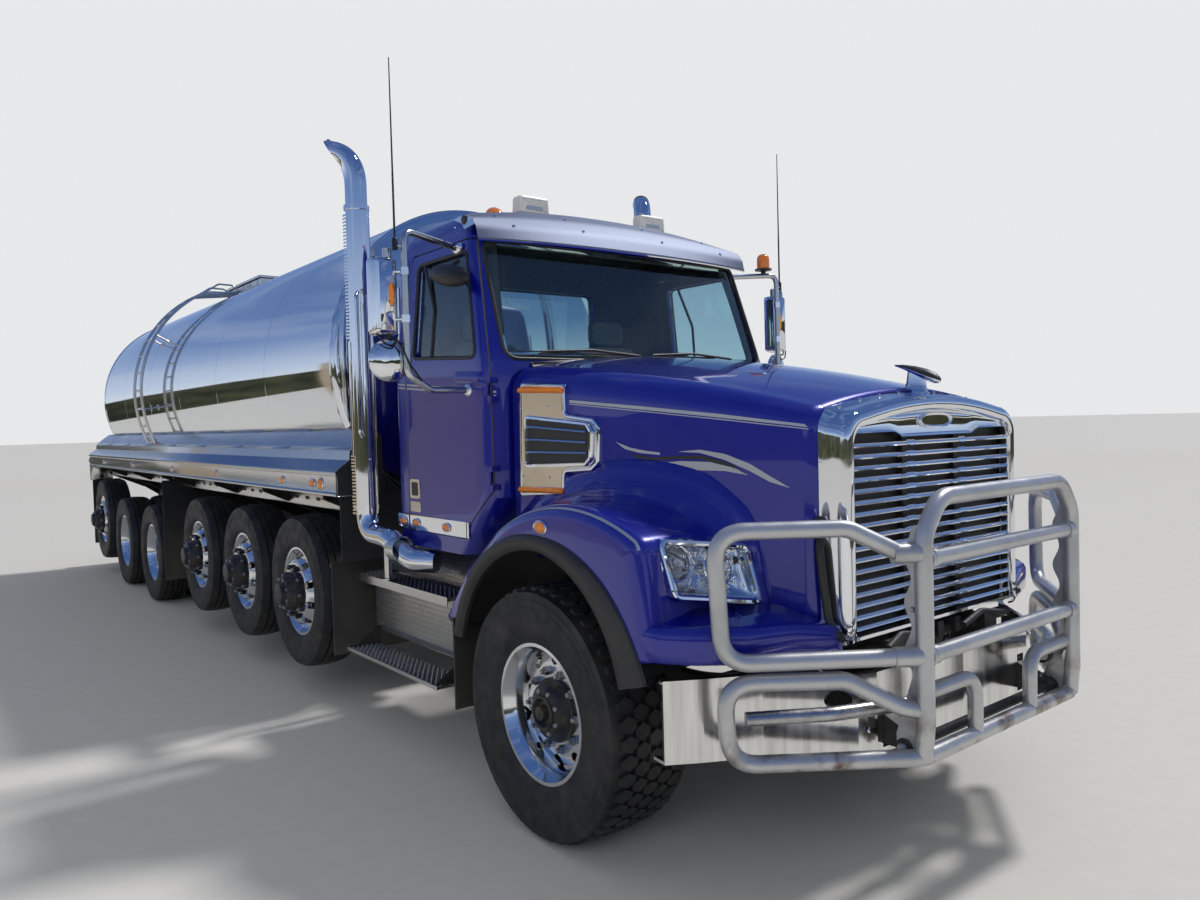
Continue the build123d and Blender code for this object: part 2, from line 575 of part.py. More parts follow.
# Cab
CAB_SIDE = [(CAB_Y0, 1420), (CAB_Y0, CAB_BELT - 10), (820, 2790), (955, CAB_ROOF), (CAB_Y1, CAB_ROOF - 10),
            (CAB_Y1, CAB_FLOOR), (860, CAB_FLOOR)]
CAB_FRONT = [(-CAB_HALF, CAB_FLOOR - 5), (-CAB_HALF, CAB_BELT), (-965, 2790), (-850, CAB_ROOF + 5),
             (850, CAB_ROOF + 5), (965, 2790), (CAB_HALF, CAB_BELT), (CAB_HALF, CAB_FLOOR - 5)]
CAB_PLAN = [(-CAB_HALF, CAB_Y1 + 5), (-CAB_HALF, 655), (-940, CAB_Y0 - 5), (940, CAB_Y0 - 5),
            (CAB_HALF, 655), (CAB_HALF, CAB_Y1 + 5)]
DOOR_LINE = [(668, 1450), (668, 2095), (872, 2755), (1550, 2755), (1550, 1195), (900, 1195), (850, 1290),
             (710, 1405)]
DOOR_WINDOW = [(772, 2125), (1462, 2168), (1462, 2690), (925, 2690)]
SCREEN = [(-915, 2120), (915, 2120), (885, 2735), (-885, 2735)]


def outline(points, inset, radius=0):
    face = make_face(Polyline(*points, close=True))
    if radius:
        face = fillet(face.vertices(), radius)
    return offset(face, -inset) if inset else face


def cab_form(inset):
    low, high = CAB_FLOOR - 200, CAB_ROOF + 200
    side = extrude(Plane.YZ.offset(-1200) * outline(CAB_SIDE, inset, 40), amount=2400)
    front = extrude(Plane.XZ.offset(-2000) * outline(CAB_FRONT, inset, 40), amount=1700)
    plan = extrude(Plane.XY.offset(low) * outline(CAB_PLAN, inset, 30), amount=high - low)
    return side & front & plan


def door_cut(gap):
    return extrude(Plane.YZ.offset(700) * outline(DOOR_LINE, gap, 30), amount=500)


def window_cut(gap):
    return extrude(Plane.YZ.offset(700) * outline(DOOR_WINDOW, gap, 45), amount=500)


def screen_cut(gap):
    return extrude(Plane.XZ.offset(-1000) * outline(SCREEN, gap, 50), amount=600)


def rear_window_cut(gap):
    points = [(-430, 2250), (430, 2250), (430, 2640), (-430, 2640)]
    return extrude(Plane.XZ.offset(-1900) * outline(points, gap, 50), amount=400)


HINGE_ZS = (1520, 1960)


def hinge_leaf(z, half, y0, y1, bore):
    """One leaf of a door hinge with its barrel on the hinge line."""
    barrel = rod((HINGE_X, HINGE_Y, z - half), (HINGE_X, HINGE_Y, z + half), 13)
    leaf = block(CAB_HALF + 1, HINGE_X - 2, y0, y1, z - half, z + half)
    leaf += block(CAB_HALF - 6, HINGE_X - 2, y1 - 30, y1, z - half, z + half)
    return barrel + leaf - rod((HINGE_X, HINGE_Y, z - half - 1), (HINGE_X, HINGE_Y, z + half + 1), bore)


def cab():
    shell = cab_form(0) - cab_form(CAB_WALL)
    for cut in (door_cut(0), window_cut(0)):
        shell -= cut
        shell -= other_side(cut)
    shell -= screen_cut(0)
    shell -= rear_window_cut(0)
    for z in HINGE_ZS:
        pin = rod((HINGE_X, HINGE_Y, z - 75), (HINGE_X, HINGE_Y, z + 75), 6)
        for z0, z1 in ((z - 75, z - 41), (z + 41, z + 75)):
            pin += block(960, HINGE_X + 4, HINGE_Y - 30, HINGE_Y + 6, z0, z1)
        pin -= cab_form(CAB_WALL)
        shell += pin
        shell += other_side(pin)
    mounts = block(300, 420, 1500, 1640, RAIL_Z1 + SEAT, CAB_FLOOR + 2)
    shell += mounts
    shell += other_side(mounts)
    return shell


def door():
    """Left door: cut from the same wall as the cab, with its window open."""
    shell = (cab_form(0) - cab_form(CAB_WALL)) & door_cut(PANEL_GAP)
    shell -= window_cut(0)
    for z in HINGE_ZS:
        shell -= block(900, HINGE_X + 10, 600, HINGE_Y + 26, z - 80, z + 80)
        shell += hinge_leaf(z, 40, HINGE_Y, HINGE_Y + 70, 6 + RUN)
    shell += block(CAB_HALF - 4, CAB_HALF + 14, 1430, 1530, 1390, 1480)
    return max(shell.solids(), key=lambda s: s.volume)


def pane(cut):
    return (cab_form(16) - cab_form(16 + GLASS)) & cut


def seat():
    x, cushion_z, back_z, head_z = 480, 1480, 1610, 2290
    base = block(x - 190, x + 190, 1190, 1560, CAB_FLOOR + CAB_WALL + SEAT, cushion_z)
    cushion = fillet(block(x - 240, x + 240, 1100, 1600, cushion_z + SEAT, back_z).edges(), 30)
    back = fillet(side_plate([(1480, back_z + SEAT), (1570, back_z + SEAT), (1630, head_z), (1560, head_z)],
                             x - 240, x + 240).edges(), 25)
    head = fillet(block(x - 140, x + 140, 1555, 1635, head_z + SEAT, 2460).edges(), 25)
    return base + cushion + back + head


def dashboard():
    panel = side_plate([(650, 1700), (650, 2075), (760, 2090), (905, 2010), (930, 1900), (870, 1700)],
                       -930, 930) & cab_form(CAB_WALL + SEAT)
    post = block(-120, 120, 650, 800, CAB_FLOOR + CAB_WALL + SEAT, 1710) & cab_form(CAB_WALL + SEAT)
    column = rod((480, 880, 1870), (480, 1035, 2010), 28)
    axis = Plane(origin=(480, 1040, 2015), z_dir=(0, 0.74, 0.67))
    ring = Solid.make_torus(225, 16, axis)
    spokes = axis * Box(440, 34, 12)
    hub_piece = axis * Cylinder(55, 30)
    return panel + post + column + ring + spokes + hub_piece


# Front: bumper, guard and its brackets
BUMPER_LINE = [(0, -1235), (560, -1215), (640, -1190), (880, -950), (1080, -842), (1205, -765)]
BUMPER_Z0, BUMPER_Z1, BUMPER_WALL = 540, 845, 12
BUMPER_LIPS = ((BUMPER_Z1 - BUMPER_WALL, BUMPER_Z1, 26), (BUMPER_Z0, BUMPER_Z0 + BUMPER_WALL, 70))
GUARD_PIVOT = (-1330, 600)
TOW_PIN, TOW_PIN_R = (-1140, 752), 22
TOW_ACCESS_R = 36     # hole in the bumper's corner that the tow pin goes through
GUARD_R, GUARD_X, GUARD_Y, GUARD_TOP = 32, 560, -1418, 1489
GUARD_LOW = (-1400, 582)          # low bar: distance back, height
GUARD_BARS = (1280, 940)          # heights of the cross bars
WING_SWEEP = 0.736                # how far a wing goes back for each step outwards
WING_BEND, HOOP_BEND = 110, 180
UPPER_WING = [(560, 1302), (625, 1302), (775, 1396), (1148, 1396), (1130, 938), (560, 942)]
LOWER_WING = [(545, 742), (625, 765), (780, 866), (1124, 868), (1108, 582), (560, 582)]
STUB_X, STUB_Z, STUB_BEND = 210, 806, 90


def bumper():
    half = BUMPER_LINE + [(x - 4, y + BUMPER_WALL) for x, y in reversed(BUMPER_LINE[1:])] + \
        [(0, BUMPER_LINE[0][1] + BUMPER_WALL)]
    body = flat_plate(half, BUMPER_Z0, BUMPER_Z1)
    for z0, z1, reach in BUMPER_LIPS:
        lip = BUMPER_LINE + [(x - reach / 7, y + reach) for x, y in reversed(BUMPER_LINE[1:])] + \
            [(0, BUMPER_LINE[0][1] + reach)]
        body += flat_plate(lip, z0, z1)
    body -= block(471, 529, -1300, -1100, 560, 720)
    body -= rod((600, TOW_PIN[0], TOW_PIN[1]), (800, TOW_PIN[0], TOW_PIN[1]), TOW_ACCESS_R)
    body += block(525 + SEAT, 550, -1205, -1080, 620, 690)
    return body + other_side(body)


def guard_bracket():
    """Left bracket from the frame rail to the guard's pivot, through the bumper."""
    y, z = GUARD_PIVOT
    arm = side_plate([(y - 28, z - 14), (y - 28, z + 14), (y - 14, z + 28), (-1190, 697), (-1190, 800),
                      (RAIL_FRONT + 90, RAIL_Z0 + 10), (RAIL_FRONT + 90, RAIL_Z0 - 130), (-1180, 575),
                      (y + 20, z - 28), (y - 14, z - 28)], 475, 525)
    arm += block(RAIL_X - 40, 500, RAIL_FRONT, RAIL_FRONT + 90, RAIL_Z0 - 120, RAIL_Z0 - SEAT)
    arm -= rod((400, y, z), (600, y, z), 20 + RUN)
    return arm - rod((400, TOW_PIN[0], TOW_PIN[1]), (600, TOW_PIN[0], TOW_PIN[1]), TOW_PIN_R)


def guard():
    """Folding tube guard: hoop, cross bars, swept wings, low bar with stubs, and pivot plates."""
    x0, y0 = GUARD_X, GUARD_Y
    pivot_y, pivot_z = GUARD_PIVOT
    low_y, low_z = GUARD_LOW
    hoop = [(x0, low_y, low_z), (x0, y0, 700), (x0, y0, GUARD_TOP)]
    body = bent_tube(hoop + [(-x, y, z) for x, y, z in reversed(hoop)], GUARD_R, HOOP_BEND)
    for z in GUARD_BARS:
        body += rod((-x0, y0, z), (x0, y0, z), GUARD_R - 2)
    upper = [(x, y0 + (x - x0) * WING_SWEEP, z) for x, z in UPPER_WING]
    lower = [(x, low_y + (x - x0) * WING_SWEEP, z) for x, z in LOWER_WING]
    side = bent_tube(upper, GUARD_R - 1, WING_BEND)
    side += bent_tube(lower + [(0, low_y, low_z)], GUARD_R - 1, WING_BEND)
    side += bent_tube([(x0 - 10, low_y + 15, STUB_Z - 6), (STUB_X, low_y, STUB_Z), (STUB_X, low_y, low_z)],
                      GUARD_R - 4, STUB_BEND)
    side += side_plate([(y0, 640), (y0 + 20, 556), (pivot_y + 30, 556), (pivot_y + 32, 645), (y0 + 58, 860),
                        (y0 + 72, 950), (y0 + 50, 1035), (y0 + 70, 1120), (y0 + 50, 1205), (y0 + 70, 1300),
                        (y0 + 40, 1380), (y0, 1400)], x0 - 8, x0 + 8, 12)
    side += side_plate([(y0 - 10, 560), (pivot_y + 32, 560), (pivot_y + 32, 645), (y0 - 10, 760)],
                       534, 562, 8)
    body += side
    body += other_side(side)
    return body + rod((-562, pivot_y, pivot_z), (562, pivot_y, pivot_z), 20)


# Mirrors, exhausts, steps and small pieces
MIRROR_TUBE = (1365, 846)         # the tube's upright run: distance from the middle, distance back
MIRROR_TUBE_R = 17
AERIAL_TOP = 3560


def mirror_arm():
    """Left mirror: a bent tube on the door, the head with a round mirror under it, and an aerial."""
    x, y = MIRROR_TUBE
    head = block(1380, 1507, y + 30, y + 130, 2232, 2612)
    head = fillet(head.edges(), 28)
    low = rod((1425, y + 42, 2112), (1425, y + 82, 2112), 105)
    low += rod((1425, y + 60, 2112), (1425, y + 60, 2245), 11)
    frame = bent_tube([(960, 1010, 2715), (x, y, 2738), (x, y, 2040), (1240, 848, 1963), (1010, 849, 1963)],
                      MIRROR_TUBE_R, 60)
    body = head + low + frame
    for z in (2540, 2310):
        body += rod((x, y, z), (1410, y + 50, z), 10)
    aerial_x, aerial_y = x + 42, y + 8
    body += rod((x, y, 2660), (aerial_x, aerial_y, 2660), 9)
    body += rod((aerial_x, aerial_y, 2640), (aerial_x, aerial_y, AERIAL_TOP), 5)
    return body - cab_form(-SEAT)


def beacon():
    """Domed warning lamp that stands on the left mirror's arm."""
    x, y, z = 1278, 881, 2733
    dome = fillet(rod((x, y, z + 44), (x, y, z + 146), 42).edges().sort_by(Axis.Z)[-1:], 30)
    return rod((x, y, z), (x, y, z + 36), 16) + rod((x, y, z + 34), (x, y, z + 46), 57) + dome


STACK = (1130, 1920)              # exhaust stack: distance from the middle, distance back
STACK_R, SHIELD_R, STACK_TOP = 63.5, 75, 3440


def exhaust():
    """Left exhaust: elbow from under the cab, shielded stack, tip turned to the rear and cut slanting."""
    x, y = STACK
    low_z, half_z = 1148, 2000
    pipe = bent_tube([(985, 1330, 1030), (1080, 1450, 1035), (x, 1610, low_z), (x, y, low_z), (x, y, half_z)],
                     STACK_R, 150)
    pipe += bent_tube([(x, y, half_z - 1), (x, y, STACK_TOP), (x, y + 480, STACK_TOP)], STACK_R, 320)
    pipe -= side_plate([(1990, 3260), (2260, 3520), (2600, 3520), (2600, 2900), (2200, 2900)], x - 100, x + 100)
    shield = rod((x, y, 1275), (x, y, 3070), SHIELD_R) - rod((x, y, 1200), (x, y, 3100), SHIELD_R - 8)
    shield -= block(x - 100, x + 100, y + 30, y + 200, 1200, 3100)
    for z in (1330, 2150, 3000):
        shield += rod((x, y, z), (x, y, z + 24), SHIELD_R - 5) - rod((x, y, z - 1), (x, y, z + 25), STACK_R - 2)
    stand = rod((1086, 1750, STEP_TOP + SEAT), (1086, 1750, 1125), 22)
    return pipe + shield + stand


def step_box():
    box = fillet(block(470, 1000, 1010, 2130, 500, 865).edges().filter_by(Axis.Y), 25)
    box += block(RAIL_X + SEAT, 480, 1060, 2080, 820, 860)
    top = block(900, 1110, 1000, 2160, 865, STEP_TOP)
    low = block(1000, 1205, 970, 2130, 425, 445)
    for y in (1010, 2070):
        low += side_plate([(y, 445), (y + 20, 445), (y + 20, 560), (y, 560)], 990, 1100)
        low += block(990, 1100, y, y + 20, 425, 560)
    return box + top + low


VISOR_HALF = 985


def visor():
    """Sloping sheet over the windscreen whose ends curve down, on three brackets."""
    sheet = side_plate([(722, 2735), (775, 2830), (855, 2915), (990, 2985), (1000, 2972), (868, 2902),
                        (792, 2818), (745, 2732)], -VISOR_HALF, VISOR_HALF)
    sheet &= cross_plate([(-VISOR_HALF, 2700), (-VISOR_HALF, 2860), (-850, 2935), (-500, 2975), (0, 2990),
                          (500, 2975), (850, 2935), (VISOR_HALF, 2860), (VISOR_HALF, 2700)], 600, 1100, 60)
    for x in (-840, 0, 840):
        sheet += side_plate([(770, 2790), (812, 2858), (868, 2908), (1000, 2945), (1000, 2900), (850, 2770)],
                            x - 8, x + 8)
    return sheet - cab_form(-SEAT)


def roof_lamps():
    shapes = []
    for x in (-620, -310, 0, 310, 620):
        lamp = rod((x, 1200, 2900), (x, 1200, 2965), 34) + Pos(x, 1200, 2965) * Sphere(34)
        shapes.append(lamp - cab_form(-SEAT))
    for x in (-447, 447):
        lamp = fillet(block(x - 105, x + 105, 1050, 1130, 2900, 3066).edges().filter_by(Axis.Y), 18)
        shapes.append(lamp - cab_form(-SEAT))
    for y in (3000, 4600, 6100, 7900, 9600):
        for side in both_sides(block(DECK_X + SEAT, DECK_X + 12, y - 40, y + 40, 1420, 1455)):
            shapes.append(side)
    tail_x, tail_z = DECK_X - 55, (DECK_Z0 + DECK_Z1) / 2
    shapes += both_sides(rod((tail_x, DECK_Y1 + SEAT, tail_z), (tail_x, DECK_Y1 + 26, tail_z), 52))
    return shapes


def mudflaps():
    shapes = []
    for y, x0, x1, z0, z1 in MUDFLAPS:
        shapes += both_sides(block(x0, x1, y, y + FLAP_T, z0, z1))
    return shapes


def engine():
    block_piece = fillet(block(-330, 330, -560, 560, RAIL_Z0 + 60, 1750).edges().filter_by(Axis.Y), 40)
    mount = block(320, RAIL_X - RAIL_WEB - SEAT, -60, 60, 900, 1020)
    radiator = block(-540, 540, -1010, -900, RAIL_Z1 + SEAT, 1690)
    return [block_piece + mount + other_side(mount), radiator]


# Placing and writing
def save(node, *shapes):
    solids = [solid for shape in shapes for solid in shape.solids()]
    centred = [solid.moved(Location((0, (FRONT_REACH - REAR_REACH) / 2, 0))) for solid in solids]
    export_step(Compound(children=centred) if len(centred) > 1 else centred[0], f"parts/{node}.step")


os.makedirs("parts", exist_ok=True)

WHEEL_SETS = [("steer", 0, STEER_X, STEER_TYRE_R, tyre(STEER_TYRE_R, STEER_TYRE_W, STEER_RIM_W), steer_wheel())]
single_tyre, single = tyre(TYRE_R, TYRE_W, RIM_W), single_wheel()
twin_tyres = Compound(children=[single_tyre, Pos(-TWIN_PITCH, 0, 0) * single_tyre])
twin = twin_wheel()
for name, y, wheels, raised in AXLES:
    pieces = (TWIN_X, axle_height(raised), twin_tyres, twin) if wheels == 2 else \
        (SINGLE_X, axle_height(raised), single_tyre, single)
    WHEEL_SETS.append((name, y) + pieces)
for name, y, x, z, tyre_shape, wheel_shape in WHEEL_SETS:
    for prefix, shape in (("tyre", tyre_shape), ("wheel", wheel_shape)):
        placed = Pos(x, y, z) * shape
        save(f"{prefix}_{name}_left", placed)
        save(f"{prefix}_{name}_right", other_side(placed))

save("front_axle", front_axle())
save("rear_axles", *[lower_axle(y, wheels, raised) for name, y, wheels, raised in AXLES])
save("knuckle_left", knuckle())
save("knuckle_right", other_side(knuckle()))
bracket = guard_bracket() + hood_bearing()
save("chassis", *chassis(), *both_sides(bracket))
save("engine", *engine())
save("tank", tank())
save("deck", *deck())
save("manway_box", *manway_box())
save("manway_lid", manway_lid())
save("ladder", ladder())
save("cab", cab())
left_door = door()
save("door_left", left_door)
save("door_right", other_side(left_door))
door_pane = pane(window_cut(SEAT))
save("door_glass_left", door_pane)
save("door_glass_right", other_side(door_pane))
save("cab_glass", pane(screen_cut(SEAT)), pane(rear_window_cut(SEAT)))
save("seats", *both_sides(seat()))
save("dashboard", dashboard())
save("mirror_left", mirror_arm() + beacon())
save("mirror_right", other_side(mirror_arm()))
save("hood", hood())
save("grille", grille())
save("headlamps", *both_sides(headlamp()))
save("side_vents", *both_sides(side_vent()))
save("bumper", bumper())
save("guard", guard())
save("exhaust_stacks", *both_sides(exhaust()))
save("step_boxes", *both_sides(step_box()))
save("sun_visor", visor())
save("lamps", *roof_lamps())
save("mudflaps", *mudflaps())
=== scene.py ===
from math import asin, atan2, copysign, cos, degrees, exp, hypot, pi, radians, sin, sqrt, tan, tau

import bmesh
import bpy
from mathutils import Matrix, Vector


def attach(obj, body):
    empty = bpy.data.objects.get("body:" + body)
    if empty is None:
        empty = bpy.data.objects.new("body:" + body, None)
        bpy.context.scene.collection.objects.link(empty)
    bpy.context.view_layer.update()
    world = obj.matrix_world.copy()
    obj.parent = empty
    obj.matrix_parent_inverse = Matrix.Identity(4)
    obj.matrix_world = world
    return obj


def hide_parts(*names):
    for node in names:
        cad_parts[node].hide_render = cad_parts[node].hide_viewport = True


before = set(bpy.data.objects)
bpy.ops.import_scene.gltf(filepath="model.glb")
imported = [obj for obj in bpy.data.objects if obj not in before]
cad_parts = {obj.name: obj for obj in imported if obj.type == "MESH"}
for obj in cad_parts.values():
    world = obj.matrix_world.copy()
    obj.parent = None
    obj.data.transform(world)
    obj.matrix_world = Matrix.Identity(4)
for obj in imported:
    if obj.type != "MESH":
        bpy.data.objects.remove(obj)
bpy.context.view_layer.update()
SIDES = (("left", 1), ("right", -1))
STEER_AXLE = -4.655     # where the steer axle stands in the row frame; y below is measured back from it


# The view. A photographer stands at the truck's right front corner with a wide lens,
# a little under the height of the door handles.
class Nodes:
    """A tree of shader nodes. Every node comes from add: its settings first, then its sockets."""

    def __init__(self, tree):
        self.tree = tree

    def add(self, kind, settings=None, sockets=None, output=0):
        node = self.tree.nodes.new(kind)
        for name, value in (settings or {}).items():
            if name == "stops":
                stops = node.color_ramp.elements
                while len(stops) < len(value):
                    stops.new(0.5)
                for stop, (place, tone) in zip(stops, value):
                    stop.position = place
                    stop.color = tone if len(tone) == 4 else (*tone, 1)
            else:
                setattr(node, name, value)
        for name, value in (sockets or {}).items():
            self.feed(node.inputs[name], value)
        return Value(self, node.outputs[output])

    def tones(self, mask, first, second):
        return self.add("ShaderNodeMix", {"data_type": "RGBA"}, {0: mask, 6: first, 7: second}, 2)

    def feed(self, socket, value):
        if isinstance(value, Value):
            self.tree.links.new(value.socket, socket)
        elif hasattr(socket.default_value, "__len__") and len(socket.default_value) > len(value):
            socket.default_value = (*value, 1)
        else:
            socket.default_value = value


class Value:
    """One node output. Arithmetic on it adds Math nodes."""

    def __init__(self, nodes, socket):
        self.nodes, self.socket = nodes, socket

    def sum_up(self, operation, first, second=0.0):
        return self.nodes.add("ShaderNodeMath", {"operation": operation}, {0: first, 1: second})

    def __add__(self, other):
        return self.sum_up("ADD", self, other)

    def __radd__(self, other):
        return self.sum_up("ADD", other, self)

    def __sub__(self, other):
        return self.sum_up("SUBTRACT", self, other)

    def __rsub__(self, other):
        return self.sum_up("SUBTRACT", other, self)

    def __mul__(self, other):
        return self.sum_up("MULTIPLY", self, other)

    def __rmul__(self, other):
        return self.sum_up("MULTIPLY", other, self)

    def __gt__(self, other):
        return self.sum_up("GREATER_THAN", self, other)

    def __mod__(self, other):
        return self.sum_up("FLOORED_MODULO", self, other)

    def __abs__(self):
        return self.sum_up("ABSOLUTE", self)

    def rounded_down(self):
        return self.sum_up("FLOOR", self)

    def held(self, low, high):
        """This value stretched so that low becomes 0 and high becomes 1, and held between them."""
        return self.nodes.add("ShaderNodeMapRange", {"clamp": True}, {0: self, 1: low, 2: high})


scene = bpy.context.scene


def linked(name, data):
    """A new object in the scene."""
    thing = bpy.data.objects.new(name, data)
    scene.collection.objects.link(thing)
    return thing


scene.view_settings.view_transform = "Standard"
EYE, LENS = (-3.336, -7.783, 1.787), 26.72
yaw, pitch, roll = 0.67, -0.032, -0.027
ahead = Vector((sin(yaw) * cos(pitch), cos(yaw) * cos(pitch), sin(pitch)))
level = Vector((cos(yaw), -sin(yaw), 0))
over = level.cross(ahead)
camera = linked("camera", bpy.data.cameras.new("camera"))
camera.data.lens, camera.data.sensor_width, camera.data.clip_end = LENS, 36, 600
camera.matrix_world = Matrix.Translation(EYE) @ Matrix((cos(roll) * level + sin(roll) * over,
    cos(roll) * over - sin(roll) * level, -ahead)).transposed().to_4x4()
scene.camera = camera

# The studio: a wide pale floor against a plain pale backdrop. A soft blue sky, a low dark wall far off and
# a brown card only shine back from the metal. A sun stands high over the truck's left side, and a weak
# panel before its right front corner.
world = bpy.data.worlds.new("studio")
world.use_nodes = True
scene.world = world
air = Nodes(world.node_tree)
height = air.add("ShaderNodeSeparateXYZ", {}, {0: air.add("ShaderNodeTexCoord")}, 2)
sky = air.add("ShaderNodeValToRGB", {"stops": ((0.0, (0.4, 0.38, 0.35)), (0.495, (0.5, 0.48, 0.45)),
    (0.505, (0.74, 0.8, 0.86)), (0.54, (0.5, 0.61, 0.8)), (0.62, (0.16, 0.26, 0.51)),
    (0.78, (0.065, 0.13, 0.33)), (1.0, (0.05, 0.11, 0.31)))}, {0: height * 0.5 + 0.5})
wisps = air.add("ShaderNodeTexNoise", {},
    {"Vector": air.add("ShaderNodeVectorMath", {"operation": "MULTIPLY"},
    {0: air.add("ShaderNodeTexCoord"), 1: (1, 1, 7)}), "Scale": 1.6, "Detail": 6.0})
sky = air.tones(wisps.held(0.52, 0.86) * 0.55, sky, (0.62, 0.68, 0.78))
seen = air.add("ShaderNodeLightPath") + air.add("ShaderNodeLightPath", output=6)
plain = air.tones(seen, (0.42, 0.43, 0.45), (0.8, 0.81, 0.82))
backdrop = air.tones(air.add("ShaderNodeLightPath", output=3), plain, sky)
air.feed(world.node_tree.nodes["Background"].inputs["Color"], backdrop)
world.node_tree.nodes["Background"].inputs["Strength"].default_value = 1.0


def lamp(name, kind, place, aim, power, size, colour):
    """A light at place that shines at aim. size is an angle for a sun, or the two sides of a panel."""
    light = bpy.data.lights.new(name, kind)
    light.energy, light.color = power, colour
    if kind == "AREA":
        light.shape, light.size, light.size_y = "RECTANGLE", size[0], size[1]
    else:
        light.angle = size
    holder = linked(name, light)
    holder.location = place
    holder.rotation_mode = "QUATERNION"
    holder.rotation_quaternion = (Vector(aim) - Vector(place)).to_track_quat("-Z", "Y")
    holder.visible_glossy = kind == "SUN"


lamp("key_lamp", "SUN", (9, -2, 12), (0, -1, 0), 2.5, radians(7), (1, 0.97, 0.92))
lamp("fill_lamp", "AREA", (-9, -12, 7), (0, -4, 1.2), 260, (9, 5), (0.92, 0.96, 1))


class Finish(Nodes):
    """A material. Its constants are set on the shader's own sockets."""

    def __init__(self, name, colour, rough, metal=0.0, **constants):
        self.material = bpy.data.materials.new(name)
        self.material.use_nodes = True
        super().__init__(self.material.node_tree)
        self.shader = self.tree.nodes["Principled BSDF"]
        self.set(base_color=colour, roughness=rough, metallic=metal, **constants)
        self.place = self.add("ShaderNodeTexCoord", {}, {}, 3)

    def set(self, **sockets):
        for name, value in sockets.items():
            self.feed(self.shader.inputs[name.replace("_", " ").title()], value)

    def noise(self, scale, detail=3.0, stretch=(1, 1, 1), rough=0.55):
        where = self.place
        if stretch != (1, 1, 1):
            where = self.add("ShaderNodeVectorMath", {"operation": "MULTIPLY"}, {0: where, 1: stretch})
        return self.add("ShaderNodeTexNoise", {}, {"Vector": where, "Scale": scale, "Detail": detail,
            "Roughness": rough})

    def along(self, axis):
        return self.add("ShaderNodeSeparateXYZ", {}, {0: self.place}, "xyz".index(axis))

    def raised(self, height, depth, strength=1.0):
        self.set(normal=self.add("ShaderNodeBump", {},
            {"Height": height, "Distance": depth, "Strength": strength}))


class Shape:
    """One piece while it is made. Points are in metres, with y measured back from the steer axle."""

    def __init__(self):
        self.points, self.faces, self.marks = [], [], []

    def add(self, points, faces, mark=0):
        start = len(self.points)
        self.points += [Vector(p) for p in points]
        self.faces += [tuple(start + i for i in face) for face in faces]
        self.marks += [mark] * len(faces)

    def skin(self, rows, mark=0, ring=False, loop=False, ends=False):
        """Faces over rows of points. ring joins each row's ends, loop joins the last row to the first."""
        wide, tall = len(rows[0]), len(rows)
        faces = []
        for i in range(tall if loop else tall - 1):
            for j in range(wide if ring else wide - 1):
                k, m = (i + 1) % tall, (j + 1) % wide
                faces.append((i * wide + j, i * wide + m, k * wide + m, k * wide + j))
        if ends:
            faces += [tuple(range(wide)), tuple(range((tall - 1) * wide, tall * wide))]
        self.add([p for row in rows for p in row], faces, mark)

    def mirrored(self):
        """Adds the same again on the other side of the truck."""
        count, faces, marks = len(self.points), list(self.faces), list(self.marks)
        self.points += [Vector((-p.x, p.y, p.z)) for p in self.points]
        self.faces += [tuple(i + count for i in reversed(face)) for face in faces]
        self.marks += marks
        return self

    def face(self, row, mark=0):
        self.add(row, [tuple(range(len(row)))], mark)

    def join(self, other):
        """Takes in another shape with its marks."""
        self.add(other.points, other.faces)
        self.marks[-len(other.faces):] = other.marks

    def on_side(self, sign):
        """A copy for the left side (1) or the right side (-1)."""
        copy = Shape()
        copy.points = [Vector((sign * p.x, p.y, p.z)) for p in self.points]
        copy.faces, copy.marks = list(self.faces), list(self.marks)
        return copy

    def mesh(self, name, crease=32):
        mesh = bpy.data.meshes.new(name)
        mesh.from_pydata(self.points, [], self.faces)
        mesh.polygons.foreach_set("material_index", self.marks)
        work = bmesh.new()
        work.from_mesh(mesh)
        bmesh.ops.remove_doubles(work, verts=work.verts, dist=1e-5)
        bmesh.ops.recalc_face_normals(work, faces=work.faces)
        work.to_mesh(mesh)
        work.free()
        mesh.polygons.foreach_set("use_smooth", [True] * len(mesh.polygons))
        mesh.set_sharp_from_angle(angle=radians(crease))
        return mesh


def settled(piece):
    """The piece with its modifiers worked into its mesh."""
    done = bpy.data.meshes.new_from_object(piece.evaluated_get(bpy.context.evaluated_depsgraph_get()))
    piece.modifiers.clear()
    piece.data = done
    return piece


def piece_of(name, form, finishes, body, stands_for=(), at=(0, STEER_AXLE, 0), wall=0, turn=None,
        crease=32):
    """A piece on its body, from a Shape or a ready mesh. An open sheet gets a wall of that thickness."""
    mesh = form.mesh(name, crease) if isinstance(form, Shape) else form
    piece = linked(name, mesh)
    piece.matrix_world = Matrix.Translation(at) @ (turn or Matrix.Identity(4))
    if not mesh.materials:
        for finish in finishes:
            mesh.materials.append(finish.material)
    if wall:
        sheet = piece.modifiers.new("wall", "SOLIDIFY")
        sheet.thickness, sheet.offset = wall, -1
        bpy.context.view_layer.update()
        settled(piece)
    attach(piece, body)
    if stands_for:
        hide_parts(*stands_for)
    return piece


def studio_piece(name, shape, finish):
    """Something round the truck that isn't part of it."""
    piece = linked(name, shape.mesh(name))
    piece.data.materials.append(finish.material)
    return piece


